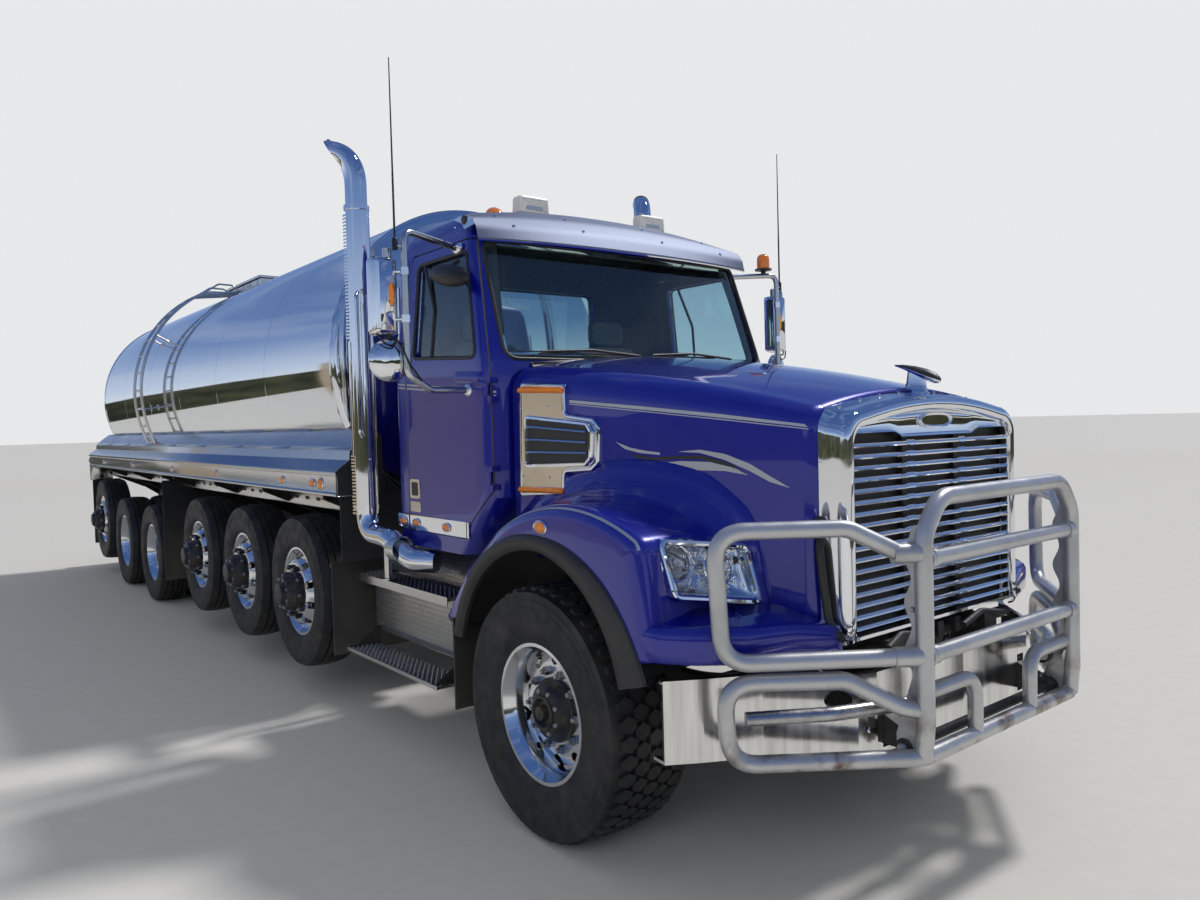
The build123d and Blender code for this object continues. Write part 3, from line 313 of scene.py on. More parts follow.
floor_finish = Finish("studio_floor", (0.56, 0.555, 0.545), 0.85)
grit = floor_finish.noise(9.0, 8.0)
floor_finish.set(base_color=floor_finish.tones(grit, (0.53, 0.525, 0.515), (0.59, 0.585, 0.575)))
ground = Shape()
ground.face([(-240, -240, -0.001), (240, -240, -0.001), (240, 240, -0.001), (-240, 240, -0.001)])
studio_floor = studio_piece("studio_floor", ground, floor_finish)
wall_finish = Finish("studio_wall", (0.035, 0.045, 0.03), 0.9)
wall_finish.set(base_color=wall_finish.tones(wall_finish.noise(0.7, 6.0).held(0.35, 0.75),
    (0.02, 0.03, 0.016), (0.11, 0.11, 0.055)))
card_finish = Finish("studio_card", (0.4, 0.33, 0.25), 0.9)
card_finish.set(base_color=card_finish.tones(card_finish.noise(1.5, 7.0), (0.36, 0.29, 0.21),
    (0.52, 0.44, 0.34)))
hills = Shape()
hills.skin([[(34 * cos(a / 60 * tau), 34 * sin(a / 60 * tau),
    z * (3.4 + 0.8 * sin(a * 0.7) + 0.5 * sin(a * 1.9))) for a in range(60)] for z in (0, 1)], ring=True)
studio_wall = studio_piece("studio_wall", hills, wall_finish)
card = Shape()
card.skin([[(-5.6, 9.6, z), (-12.0, 4.6, z)] for z in (0, 3.1)])
studio_card = studio_piece("studio_card", card, card_finish)
for far in (studio_wall, studio_card):
    far.visible_camera = far.visible_shadow = far.visible_diffuse = False


# Frame, axles and engine: rolled and forged steel under black chassis paint,
# dulled by road dust that lies thickest low down.
frame_paint = Finish("frame_paint", (0.012, 0.012, 0.014), 0.5)
dust = frame_paint.noise(6.0, 6.0) * (1 - frame_paint.along("z").held(0.3, 1.3)).held(0.0, 1.4)
frame_paint.set(base_color=frame_paint.tones(dust, (0.01, 0.01, 0.012), (0.1, 0.09, 0.075)),
    roughness=frame_paint.noise(30.0).held(0, 1) * 0.35 + 0.38)
frame_paint.raised(frame_paint.noise(160.0, 4.0), 0.0015, 0.5)


def refinished(node, *finishes):
    """A CAD node that keeps its shape gets its finish."""
    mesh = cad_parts[node].data
    mesh.materials.clear()
    for finish in finishes:
        mesh.materials.append(finish.material)


for node in ("chassis", "front_axle", "rear_axles", "engine", "knuckle_left", "knuckle_right"):
    refinished(node, frame_paint)


# Tyres: black rubber with moulded rings on the walls. The steered pair is extra wide with a tread of
# six-sided blocks, the rest have five ribs with a notched shoulder.
STEER_R, STEER_HALF = 0.548, 0.21
TYRE_R, TYRE_HALF = 0.518, 0.141
BEAD_R = 0.286
rubber = Finish("tyre_rubber", (0.018, 0.018, 0.019), 0.7)
scuff = rubber.noise(7.0, 6.0).held(0.42, 0.8)
rubber.set(base_color=rubber.tones(scuff, (0.011, 0.011, 0.012), (0.034, 0.032, 0.03)),
    roughness=0.8 - rubber.noise(14.0) * 0.45)
rubber.raised(rubber.noise(300.0, 3.0), 0.0006, 0.6)


def turned(shape, section, steps, middle=(0, 0, 0), mark=0, closed=False, axis="x"):
    """A section of (along, radius) points turned about an axis through middle."""
    rows = []
    for i in range(steps):
        angle = tau * i / steps
        row = []
        for along, radius in section:
            a, b = radius * cos(angle), radius * sin(angle)
            point = {"x": (along, a, b), "y": (b, along, a), "z": (a, b, along)}[axis]
            row.append(Vector(point) + Vector(middle))
        rows.append(row)
    shape.skin(rows, mark, loop=True, ring=closed)


def tyre_wall(radius, half, rim_half):
    """Half of the section, from the bead out to the shoulder, with moulded rings."""
    deep = radius - BEAD_R
    bulge = ((0.0, 0.0), (0.05, 0.25), (0.1, 0.52), (0.18, 0.7), (0.19, 0.76), (0.22, 0.76), (0.23, 0.8),
        (0.34, 0.94), (0.46, 1.0), (0.55, 1.0), (0.62, 0.975), (0.63, 1.01), (0.655, 1.005), (0.66, 0.955),
        (0.74, 0.9), (0.75, 0.935), (0.775, 0.925), (0.78, 0.87), (0.86, 0.81), (0.9, 0.8))
    return [(rim_half + (half - rim_half) * out, BEAD_R + deep * up) for up, out in bulge]


def ribbed_tyre(shape, offset=0.0):
    crown = [(0.112, TYRE_R - 0.012)]
    for edge in (0.074, 0.026):
        r = TYRE_R - 0.9 * edge ** 2
        crown += [(edge + 0.0055, r), (edge + 0.0035, r - 0.013), (edge - 0.0035, r - 0.013),
            (edge - 0.0055, r)]
    side = tyre_wall(TYRE_R, TYRE_HALF, 0.105) + crown
    section = side + [(-x, r) for x, r in reversed(side)]
    section = [(x + offset, r) for x, r in section]
    steps, start = 144, len(shape.points)
    turned(shape, section, steps)
    wide = len(section)
    shoulders = [len(side) - 9, len(side) - 10, wide - len(side) + 8, wide - len(side) + 9]
    for i in range(0, steps, 3):
        for j in shoulders:
            point = shape.points[start + i * wide + j]
            ring = hypot(point.y, point.z)
            point.y *= 1 - 0.006 / ring
            point.z *= 1 - 0.006 / ring


def block_tyre(shape):
    floor_r = STEER_R - 0.017
    side = tyre_wall(STEER_R, STEER_HALF, 0.175) + [(0.176, floor_r - 0.006), (0.06, floor_r)]
    turned(shape, side + [(-x, r) for x, r in reversed(side)], 96)
    around, across = 46, 5
    pitch = tau / around
    for j in range(across):
        x = (j - 2) * 0.0665
        for i in range(around):
            angle = (i + 0.5 * (j % 2)) * pitch
            wide, long = 0.0375 if abs(j - 2) < 2 else 0.041, 0.485 * pitch
            corners = [(wide, 0.42), (wide, -0.42), (0.0, -1.0), (-wide, -0.42), (-wide, 0.42), (0.0, 1.0)]
            low, high = [], []
            for cx, turn in corners:
                a = angle + turn * long
                r = STEER_R - 0.012 * ((x + cx * 0.9) / 0.2) ** 2
                low.append((x + cx, floor_r * cos(a) * 0.985, floor_r * sin(a) * 0.985))
                high.append((x + cx * 0.93, r * cos(angle + turn * long * 0.93),
                    r * sin(angle + turn * long * 0.93)))
            shape.add(low + high, [tuple(range(6, 12))] + [(k, (k + 1) % 6, 6 + (k + 1) % 6, 6 + k)
                for k in range(6)])


# Wheels: forged aluminium, polished, with ten hand holes and ten nuts. The raised and the steered ones
# bulge outwards, the driven pairs are dished deep; each hub is a black casting with a capped end.
alloy = Finish("polished_alloy", (0.8, 0.81, 0.82), 0.12, 1.0)
spun = alloy.noise(40.0, 4.0)
alloy.set(roughness=alloy.noise(5.0, 5.0).held(0.3, 0.75) * 0.16 + 0.07,
    base_color=alloy.tones(spun, (0.72, 0.73, 0.74), (0.84, 0.845, 0.85)))
hub_black = Finish("hub_enamel", (0.01, 0.01, 0.011), 0.38)
hub_black.set(base_color=hub_black.tones(hub_black.noise(18.0, 6.0).held(0.4, 0.8), (0.008, 0.008, 0.009),
    (0.07, 0.06, 0.05)))
nut_steel = Finish("nut_steel", (0.45, 0.45, 0.46), 0.3, 1.0)
nut_steel.set(roughness=nut_steel.noise(60.0) * 0.4 + 0.12,
    base_color=nut_steel.tones(nut_steel.noise(25.0), (0.25, 0.24, 0.23), (0.62, 0.62, 0.63)))
HAND_HOLES, HOLE_R, HOLE_RING, NUTS, NUT_RING = 10, 0.027, 0.222, 10, 0.1675


def rim_section(half):
    return [(half + 0.01, 0.306), (half + 0.002, 0.309), (half - 0.004, 0.302), (half - 0.006, 0.288),
        (half - 0.03, 0.281), (half - 0.045, 0.262), (0.03, 0.258), (-0.03, 0.258), (-half + 0.045, 0.262),
        (-half + 0.03, 0.281), (-half + 0.006, 0.288), (-half + 0.004, 0.302), (-half - 0.002, 0.309),
        (-half - 0.01, 0.306), (-half - 0.01, 0.286), (-half + 0.02, 0.268), (-half + 0.05, 0.25),
        (-0.03, 0.246), (0.03, 0.246), (half - 0.05, 0.25), (half - 0.02, 0.268), (half + 0.01, 0.286)]


def hexagon(shape, middle, radius, tall, mark, sides=6):
    """A nut or bolt head that stands out along x, with a chamfered end."""
    rows = [[Vector(middle) + Vector((along, radius * size * cos(tau * k / sides),
        radius * size * sin(tau * k / sides))) for k in range(sides)]
        for along, size in ((0, 1), (tall * 0.8, 1), (tall, 0.82))]
    shape.skin(rows, mark, ring=True, ends=True)


def carved(name, base, tools, crease=32):
    """Mesh of a closed shape after each (operation, shape) has been worked into it."""
    parts = [linked(name, base.mesh(name, 180))]
    for operation, tool in tools:
        parts.append(linked(name + "_tool", tool.mesh(name + "_tool", 180)))
        cut = parts[0].modifiers.new("cut", "BOOLEAN")
        cut.operation, cut.object, cut.solver = operation, parts[-1], "EXACT"
    bpy.context.view_layer.update()
    mesh = settled(parts[0]).data
    for part in parts:
        bpy.data.objects.remove(part)
    mesh.set_sharp_from_angle(angle=radians(crease))
    return mesh


def wheel_disc(name, half, face, bowed):
    """Disc with its hand holes cut through."""
    wall = copysign(0.02, face)
    root = copysign(half * 0.32, face)
    bend = [(0, 0), (0.2, 0.34), (0.45, 0.68), (0.7, 0.9), (0.88, 0.985), (1, 1)]
    outer = [(root + (face - root) * (b if bowed else a), 0.262 - (0.262 - 0.196) * a) for a, b in bend]
    section = outer + [(face, 0.185), (face, 0.06), (face - wall, 0.06),
        (face - wall, 0.185)] + [(x - wall, r) for x, r in reversed(outer)]
    shape = Shape()
    turned(shape, section, 120, closed=True)
    cutter = Shape()
    for i in range(HAND_HOLES):
        angle = tau * (i + 0.5) / HAND_HOLES
        middle = (0, HOLE_RING * cos(angle), HOLE_RING * sin(angle))
        rows = [[Vector(middle) + Vector((x, HOLE_R * cos(tau * k / 24), HOLE_R * sin(tau * k / 24)))
            for k in range(24)] for x in (-0.4, 0.4)]
        cutter.skin(rows, ring=True, ends=True)
    return carved(name, shape, [("DIFFERENCE", cutter)])


def wheel_mesh(name, half, face, bowed, hub, inner=None):
    """Rim, disc, nuts and hub. hub is its section, where its bolts stand and the mark of the nuts."""
    hub_section, (bolt_face, bolt_ring), nut_mark = hub
    shape = Shape()
    turned(shape, rim_section(half), 96, closed=True)
    disc = wheel_disc(name, half, face, bowed)
    shape.add([v.co for v in disc.vertices], [tuple(p.vertices) for p in disc.polygons])
    for i in range(NUTS):
        angle = tau * i / NUTS
        middle = Vector((face, NUT_RING * cos(angle), NUT_RING * sin(angle)))
        hexagon(shape, middle, 0.0195, 0.024, nut_mark)
        hexagon(shape, middle + Vector((0.024, 0, 0)), 0.011, 0.016, 2, 10)
    if inner is not None:
        other = Shape()
        turned(other, rim_section(half), 72, closed=True)
        turned(other, [(-face * 0.2, 0.255), (-face, 0.19), (-face, 0.06), (-face - 0.02, 0.06),
            (-face - 0.02, 0.19), (-face * 0.2 - 0.02, 0.255)], 72, closed=True)
        shape.add([p + Vector((inner, 0, 0)) for p in other.points], other.faces)
    turned(shape, [(face + x, r) for x, r in hub_section], 48, mark=1)
    for i in range(8):
        angle = tau * (i + 0.5) / 8
        hexagon(shape, (face + bolt_face, bolt_ring * cos(angle), bolt_ring * sin(angle)), 0.012, 0.013, 2)
    return shape.mesh(name, 38)


steer_hub = ([(-0.05, 0.139), (0.012, 0.139), (0.016, 0.131), (0.045, 0.118), (0.06, 0.1), (0.066, 0.076),
    (0.074, 0.074), (0.078, 0.062), (0.058, 0.05), (0.06, 0.034), (0.088, 0.03), (0.092, 0.0)],
    (0.056, 0.09), 2)
lift_hub = ([(-0.05, 0.139), (0.015, 0.139), (0.02, 0.13), (0.07, 0.12), (0.085, 0.108), (0.09, 0.084),
    (0.1, 0.082), (0.118, 0.07), (0.124, 0.04), (0.124, 0.0)], (0.084, 0.096), 1)
drive_hub = ([(-0.05, 0.139), (0.01, 0.139), (0.014, 0.13), (0.09, 0.112), (0.094, 0.104), (0.112, 0.1),
    (0.116, 0.09), (0.116, 0.045), (0.104, 0.04), (0.104, 0.0)], (0.114, 0.074), 2)
TWIN_PITCH = 0.33
twin_tyre = Shape()
ribbed_tyre(twin_tyre)
ribbed_tyre(twin_tyre, -TWIN_PITCH)
single_tyre, steer_tyre = Shape(), Shape()
ribbed_tyre(single_tyre)
block_tyre(steer_tyre)
tyre_kinds = {"steer": steer_tyre.mesh("steer_tyre", 40), "single": single_tyre.mesh("single_tyre", 40),
    "twin": twin_tyre.mesh("twin_tyre", 40)}
wheel_kinds = {"steer": wheel_mesh("steer_wheel", 0.175, 0.095, True, steer_hub),
    "single": wheel_mesh("single_wheel", 0.105, 0.14, True, lift_hub),
    "twin": wheel_mesh("twin_wheel", 0.105, -TWIN_PITCH / 2, False, drive_hub, -TWIN_PITCH)}
for name, y, x, z, kind in (("steer", 0, 1.045, 0.548, "steer"), ("lift_1", 2.9, 1.098, 0.688, "single"),
        ("lift_2", 4.1, 1.098, 0.688, "single"), ("lift_3", 5.4, 1.098, 0.688, "single"),
        ("drive_1", 7.3, 1.095, 0.518, "twin"), ("drive_2", 8.72, 1.095, 0.518, "twin"),
        ("tag", 10.05, 1.098, 0.688, "single")):
    for side, sign in SIDES:
        turn = Matrix.Rotation(0 if sign > 0 else pi, 4, "Z")
        spot = (sign * x, y + STEER_AXLE, z)
        piece_of(f"{name}_tyre_{side}", tyre_kinds[kind], [rubber], f"wheel_{name}_{side}",
            [f"tyre_{name}_{side}"], spot, turn=turn)
        piece_of(f"{name}_wheel_{side}", wheel_kinds[kind], [alloy, hub_black, nut_steel],
            f"wheel_{name}_{side}", [f"wheel_{name}_{side}"], spot, turn=turn)


# Tank: stainless jacket polished to a mirror and rolled in rings, dished heads with a welded lip,
# and an outlet pipe with a collar under the rear head.
TANK_R, TANK_Z, TANK_FRONT, TANK_REAR = 1.1, 2.22, 2.3, 10.52
mirror_steel = Finish("tank_mirror", (0.8, 0.81, 0.83), 0.05, 1.0)
ripple = mirror_steel.noise(0.55, 2.0, (1.0, 0.25, 1.0))
mirror_steel.set(roughness=mirror_steel.noise(3.0, 6.0).held(0.35, 0.8) * 0.05 + 0.03,
    base_color=mirror_steel.tones(mirror_steel.noise(1.2, 5.0, (1, 0.4, 1)), (0.74, 0.76, 0.79),
    (0.84, 0.85, 0.86)))
mirror_steel.raised(ripple, 0.012, 0.25)


def dished_head(face, back):
    """Section of one head from the jacket to the middle, as (along, radius)."""
    knuckle, depth = 0.07, 0.19
    points = []
    for i in range(7):
        a = radians(90 * i / 6 * 0.78)
        points.append((back + (face - back) * (knuckle / depth) * sin(a) * 0.55,
            TANK_R - knuckle * 0.6 * (1 - cos(a))))
    x0, r0 = points[-1]
    for i in range(1, 13):
        r = r0 * (1 - i / 12)
        points.append((face + (x0 - face) * (r / r0) ** 2, r))
    return points


jacket = Shape()
front_head = dished_head(TANK_FRONT, TANK_FRONT + 0.19)
rear_head = dished_head(TANK_REAR, TANK_REAR - 0.19)
section = list(reversed(front_head))
LIP, RINGS = 0.006, 6
section += [(TANK_FRONT + 0.19, TANK_R), (TANK_FRONT + 0.192, TANK_R + LIP),
    (TANK_FRONT + 0.215, TANK_R + LIP), (TANK_FRONT + 0.218, TANK_R)]
for i in range(1, RINGS):
    seam = TANK_FRONT + 0.2 + (TANK_REAR - TANK_FRONT - 0.4) * i / RINGS
    section += [(seam - 0.004, TANK_R), (seam - 0.002, TANK_R - 0.0015), (seam + 0.002, TANK_R - 0.0015),
        (seam + 0.004, TANK_R)]
section += [(TANK_REAR - 0.218, TANK_R), (TANK_REAR - 0.215, TANK_R + LIP),
    (TANK_REAR - 0.192, TANK_R + LIP), (TANK_REAR - 0.19, TANK_R)] + rear_head
turned(jacket, section, 192, (0, 0, TANK_Z), axis="y")
turned(jacket, [(TANK_REAR - 0.25, 0.05), (10.56, 0.05), (10.64, 0.05), (10.64, 0.043), (10.5, 0.043)], 40,
    (0, 0, 1.25), axis="y")
turned(jacket, [(10.54, 0.05), (10.54, 0.07), (10.559, 0.072), (10.56, 0.05)], 40, (0, 0, 1.25), axis="y")
piece_of("tank_jacket", jacket, [mirror_steel], "root", ["tank"], crease=25)


# Bed: folded stainless sheet. A boxed rail with a rolled lip runs the whole length on each side, an apron
# of lapped sheets slopes up from it to the tank, and gusset plates carry both on the frame.
BED_FRONT, BED_REAR = 2.05, 10.65
brushed = Finish("brushed_stainless", (0.62, 0.61, 0.59), 0.24, 1.0)
grain = brushed.noise(26.0, 4.0, (14, 0.5, 14))
brushed.set(base_color=brushed.tones(grain, (0.5, 0.49, 0.47), (0.76, 0.75, 0.73)),
    roughness=grain * 0.2 + 0.12)
brushed.raised(grain, 0.0008, 0.35)
# The apron's sheets are stainless like the rail, but coloured dark blue-grey: painted reflection of the sky
# they mirror.
apron_painted_sky = Finish("apron_painted_sky", (0.34, 0.36, 0.4), 0.2, 1.0)
apron_painted_sky.set(base_color=apron_painted_sky.tones(apron_painted_sky.noise(1.4, 5.0), (0.26, 0.28, 0.32),
    (0.44, 0.46, 0.5)), roughness=apron_painted_sky.noise(9.0, 5.0) * 0.22 + 0.1)


def eased(points, radius, steps=6):
    """The open run of points with its corners rounded off."""
    done = [Vector(points[0])]
    for before, corner, after in zip(points, points[1:], points[2:]):
        before, corner, after = Vector(before), Vector(corner), Vector(after)
        back, on = before - corner, after - corner
        bend = back.angle(on, pi)
        if bend > radians(176):
            done.append(corner)
            continue
        cut = min(radius / tan(bend / 2), back.length * 0.49, on.length * 0.49)
        start, end = corner + back.normalized() * cut, corner + on.normalized() * cut
        for i in range(steps + 1):
            t = i / steps
            done.append(start * (1 - t) ** 2 + corner * 2 * t * (1 - t) + end * t * t)
    return done + [Vector(points[-1])]


def plate(shape, outline, across, place, thick, mark=0):
    """A flat plate: outline points are given in the two axes beside across."""
    def at(a, b, c):
        return {"x": (c, a, b), "y": (a, c, b), "z": (a, b, c)}[across]
    count = len(outline)
    shape.add([at(a, b, place) for a, b in outline] + [at(a, b, place + thick) for a, b in outline],
        [tuple(range(count)), tuple(range(count, 2 * count))] +
        [(k, (k + 1) % count, count + (k + 1) % count, count + k) for k in range(count)], mark)


def block(shape, x0, x1, y0, y1, z0, z1, mark=0):
    plate(shape, [(x0, y0), (x1, y0), (x1, y1), (x0, y1)], "z", z0, z1 - z0, mark)


def tube(shape, points, radius, bend=0.1, sides=20, mark=0, steps=8):
    """A round tube along a run of points with its corners bent."""
    line = eased([Vector(p) for p in points], bend, steps) if len(points) > 2 else [Vector(p)
        for p in points]
    rows, across = [], None
    for i, point in enumerate(line):
        run = (line[min(i + 1, len(line) - 1)] - line[max(i - 1, 0)]).normalized()
        if across is None:
            across = run.cross(Vector((0, 0, 1) if abs(run.z) < 0.9 else (1, 0, 0)))
        across = (across - run * across.dot(run)).normalized()
        other = run.cross(across)
        size = radius(point) if callable(radius) else radius
        rows.append([point + size * (cos(tau * k / sides) * across + sin(tau * k / sides) * other)
            for k in range(sides)])
    shape.skin(rows, mark, ring=True, ends=True)


def oval(shape, middle, half_wide, half_tall, profile, mark=0, steps=36, power=2.6, out=(0, -1, 0),
        wide=(1, 0, 0)):
    """A raised oval on a surface that faces out: profile is a list of (shrink, height)."""
    out, wide, middle = Vector(out).normalized(), Vector(wide).normalized(), Vector(middle)
    tall = out.cross(wide)
    rows = []
    for shrink, high in profile:
        row = []
        for k in range(steps):
            c, s = cos(tau * k / steps), sin(tau * k / steps)
            row.append(middle + out * high + wide * (half_wide - shrink) * copysign(abs(c) ** (2 / power),
                c) + tall * (half_tall - shrink) * copysign(abs(s) ** (2 / power), s))
        rows.append(row)
    shape.skin(rows, mark, ring=True)
    shape.face(rows[-1], mark)


SIDEWAYS = (1, 0, 0), (0, 1, 0)     # out and wide of an oval that faces the truck's left
rail_line = eased([(1.165, 1.377), (1.268, 1.375), (1.268, 1.392), (1.258, 1.398), (1.258, 1.498),
    (1.268, 1.504), (1.268, 1.524), (1.245, 1.547), (1.178, 1.592), (1.172, 1.652), (1.166, 1.656)], 0.006,
    2)
bed = Shape()
bed.skin([[(x, y, z) for x, z in rail_line] for y in (BED_FRONT, BED_REAR)])
SHEETS = 8
for i in range(SHEETS):
    y0 = BED_FRONT + (BED_REAR - BED_FRONT) * i / SHEETS
    y1 = BED_FRONT + (BED_REAR - BED_FRONT) * (i + 1) / SHEETS
    rows = [[(1.173 - 0.162 * t / 6 - 0.642 * down + 0.004 * sin(pi * t / 6), y,
        1.652 + 0.135 * t / 6 - 0.767 * down + 0.004 * sin(pi * t / 6)) for t in range(7)]
        for y, down in ((y0 + 0.001, 0.007), (y0 + 0.005, 0.0), (y1 - 0.005, 0.0), (y1 - 0.001, 0.007))]
    bed.skin(rows, 1)
skirt_arc = [(10.32 + 0.314 * cos(radians(a)), 1.045 + 0.314 * sin(radians(a))) for a in range(26, 91, 4)]
bed.skin([[(x, y, z) for y, z in skirt_arc] for x in (1.0, 1.262)])
bed.mirrored()
piece_of("bed_sheets", bed, [brushed, apron_painted_sky], "root", ["deck"], wall=0.003, crease=30)
frames = Shape()
plate(frames, [(10.32, 1.375), (10.648, 1.375), (10.648, 1.185)] + skirt_arc, "x", 1.254, 0.01, 1)
plate(frames, [(1.0, 1.3), (1.256, 1.3), (1.256, 1.5), (1.0, 1.5)], "y", 10.64, 0.008, 1)
plate(frames, [(1.262, 1.378), (1.262, 1.52), (1.24, 1.543), (1.176, 1.588), (1.168, 1.648), (1.012, 1.778),
    (0.96, 1.74), (0.96, 1.378)], "y", BED_FRONT + 0.001, 0.008)
plate(frames, [(0.76, 0.965), (1.215, 0.965), (1.215, 1.372), (0.76, 1.372)], "y", 2.12, 0.008)
for y in (2.33, 3.5, 4.75, 6.15, 6.62, 8.01, 9.385, 10.59):
    plate(frames, [(0.4325, 0.93), (0.4325, 1.195), (0.6, 1.288), (0.75, 1.405), (0.9, 1.57), (1.01, 1.74),
        (1.16, 1.62), (1.16, 1.385), (1.24, 1.378), (1.24, 1.352), (0.62, 1.06)], "y", y - 0.006, 0.012)
    plate(frames, [(0.62, 1.06), (1.24, 1.352), (1.24, 1.346), (0.62, 1.054)], "y", y - 0.035, 0.07)
channel = eased([(1.015, 1.247), (1.058, 1.247), (1.058, 1.36), (1.015, 1.36)], 0.008, 3)
frames.skin([[(x, y, z) for x, z in channel] for y in (2.34, 10.3)], 1)
for i in range(38):
    y = 2.48 + 0.205 * i
    oval(frames, (1.0585, y, 1.305), 0.04, 0.013, [(0, 0), (0, 0.0012)], 0, 20, 2.4, *SIDEWAYS)
frames.mirrored()
piece_of("bed_frames", frames, [frame_paint, brushed], "root", crease=30)


# Manway box and ladder: a folded box on the tank's crown with a hinged roof, a round hatch inside,
# and a bowed ladder of steel tube with a grated landing.
BOX_HALF, BOX_FRONT, BOX_BACK, BOX_TOP = 0.185, 6.62, 7.83, 3.42
HINGE_X, HINGE_Z = BOX_HALF + 0.016, BOX_TOP - 0.004
manway = Shape()
wall_feet = [TANK_Z + sqrt(TANK_R ** 2 - (BOX_HALF * (i / 6 - 1)) ** 2) for i in range(13)]
for y in (BOX_FRONT, BOX_BACK):
    back = 0.003 if y == BOX_FRONT else -0.003
    manway.skin([[(BOX_HALF * (i / 6 - 1), y + step * back, z if up == 0 else BOX_TOP)
        for i, z in enumerate(wall_feet)] for up, step in ((0, 0), (1, 0), (1, 1), (0, 1))])
for sign in (-1, 1):
    manway.skin([[(sign * (BOX_HALF - dx), y, z) for y in (BOX_FRONT, BOX_BACK)]
        for dx, z in ((0, wall_feet[0]), (0, BOX_TOP), (0.003, BOX_TOP), (0.003, wall_feet[0]))])
    tube(manway, [(sign * (BOX_HALF + 0.004), BOX_FRONT, wall_feet[0] + 0.004),
        (sign * (BOX_HALF + 0.004), BOX_BACK, wall_feet[0] + 0.004)], 0.007, sides=10)
    for i in range(5):
        y = BOX_FRONT + 0.12 + 0.2425 * i
        block(manway, *sorted((sign * BOX_HALF, sign * (BOX_HALF + 0.01))), y - 0.014, y + 0.014,
            wall_feet[0], BOX_TOP - 0.012)
hatch_y = (BOX_FRONT + BOX_BACK) / 2
turned(manway, [(BOX_TOP - 0.12, 0.13), (BOX_TOP - 0.06, 0.13), (BOX_TOP - 0.06, 0.15),
    (BOX_TOP - 0.042, 0.15), (BOX_TOP - 0.04, 0.12), (BOX_TOP - 0.04, 0.0)], 48, (0, hatch_y, 0), axis="z")
for i in range(6):
    a = tau * i / 6
    tube(manway, [(0.137 * cos(a), hatch_y + 0.137 * sin(a), BOX_TOP - 0.045),
        (0.137 * cos(a), hatch_y + 0.137 * sin(a), BOX_TOP - 0.02)], 0.009, sides=6)
for y in (BOX_FRONT + 0.3, BOX_BACK - 0.3):
    tube(manway, [(HINGE_X, y - 0.06, HINGE_Z), (HINGE_X, y - 0.021, HINGE_Z)], 0.012, sides=16)
    tube(manway, [(HINGE_X, y - 0.06, HINGE_Z), (HINGE_X, y + 0.04, HINGE_Z)], 0.005, sides=12)
piece_of("manway_walls", manway, [brushed], "root", ["manway_box"], crease=30)
roof = Shape()
LID_LOW, LID_HIGH = 3.4283, 3.4543
edge_x0, edge_x1 = -BOX_HALF - 0.022, BOX_HALF + 0.003
edge_y0, edge_y1 = BOX_FRONT - 0.022, BOX_BACK + 0.022
corners = [(edge_x0, edge_y0), (edge_x1, edge_y0), (edge_x1, edge_y1), (edge_x0, edge_y1)]
rounded = eased([((edge_x0 + edge_x1) / 2, edge_y0), corners[1], corners[2], corners[3], corners[0],
    ((edge_x0 + edge_x1) / 2, edge_y0)], 0.022, 5)[:-1]
middle = Vector(((edge_x0 + edge_x1) / 2, (edge_y0 + edge_y1) / 2))
levels = ((0.003, LID_LOW), (0, LID_LOW), (0, LID_HIGH - 0.008), (0.003, LID_HIGH - 0.003),
    (0.01, LID_HIGH - 0.002), (0.06, LID_HIGH - 0.001), (0.14, LID_HIGH))
rows = [[(p.x + (middle.x - p.x) * s / 0.2, p.y + (middle.y - p.y) * s / 0.62, z) for p in rounded]
    for s, z in levels]
roof.skin(rows, ring=True)
roof.face(rows[-1])
roof.face(rows[0])
for y in (BOX_FRONT + 0.3, BOX_BACK - 0.3):
    tube(roof, [(HINGE_X, y - 0.02, HINGE_Z), (HINGE_X, y + 0.04, HINGE_Z)], 0.0118, sides=16)
    block(roof, BOX_HALF - 0.01, BOX_HALF + 0.0215, y - 0.018, y + 0.038, BOX_TOP + 0.01, BOX_TOP + 0.0295)
    block(roof, BOX_HALF + 0.012, BOX_HALF + 0.0215, y - 0.018, y + 0.038, BOX_TOP - 0.002, BOX_TOP + 0.02)
tube(roof, [(-0.15, hatch_y - 0.1, LID_HIGH - 0.006), (-0.15, hatch_y - 0.1, LID_HIGH + 0.01),
    (-0.15, hatch_y + 0.1, LID_HIGH + 0.01), (-0.15, hatch_y + 0.1, LID_HIGH - 0.006)], 0.006, 0.012, 12)
piece_of("manway_roof", roof, [brushed], "manway_lid", ["manway_lid"], crease=30)

ladder = Shape()
LADDER_Y, LADDER_HALF, BOW_R = 7.5, 0.165, 1.25


def bow(angle, reach=BOW_R):
    return -reach * cos(radians(angle)), TANK_Z + reach * sin(radians(angle))


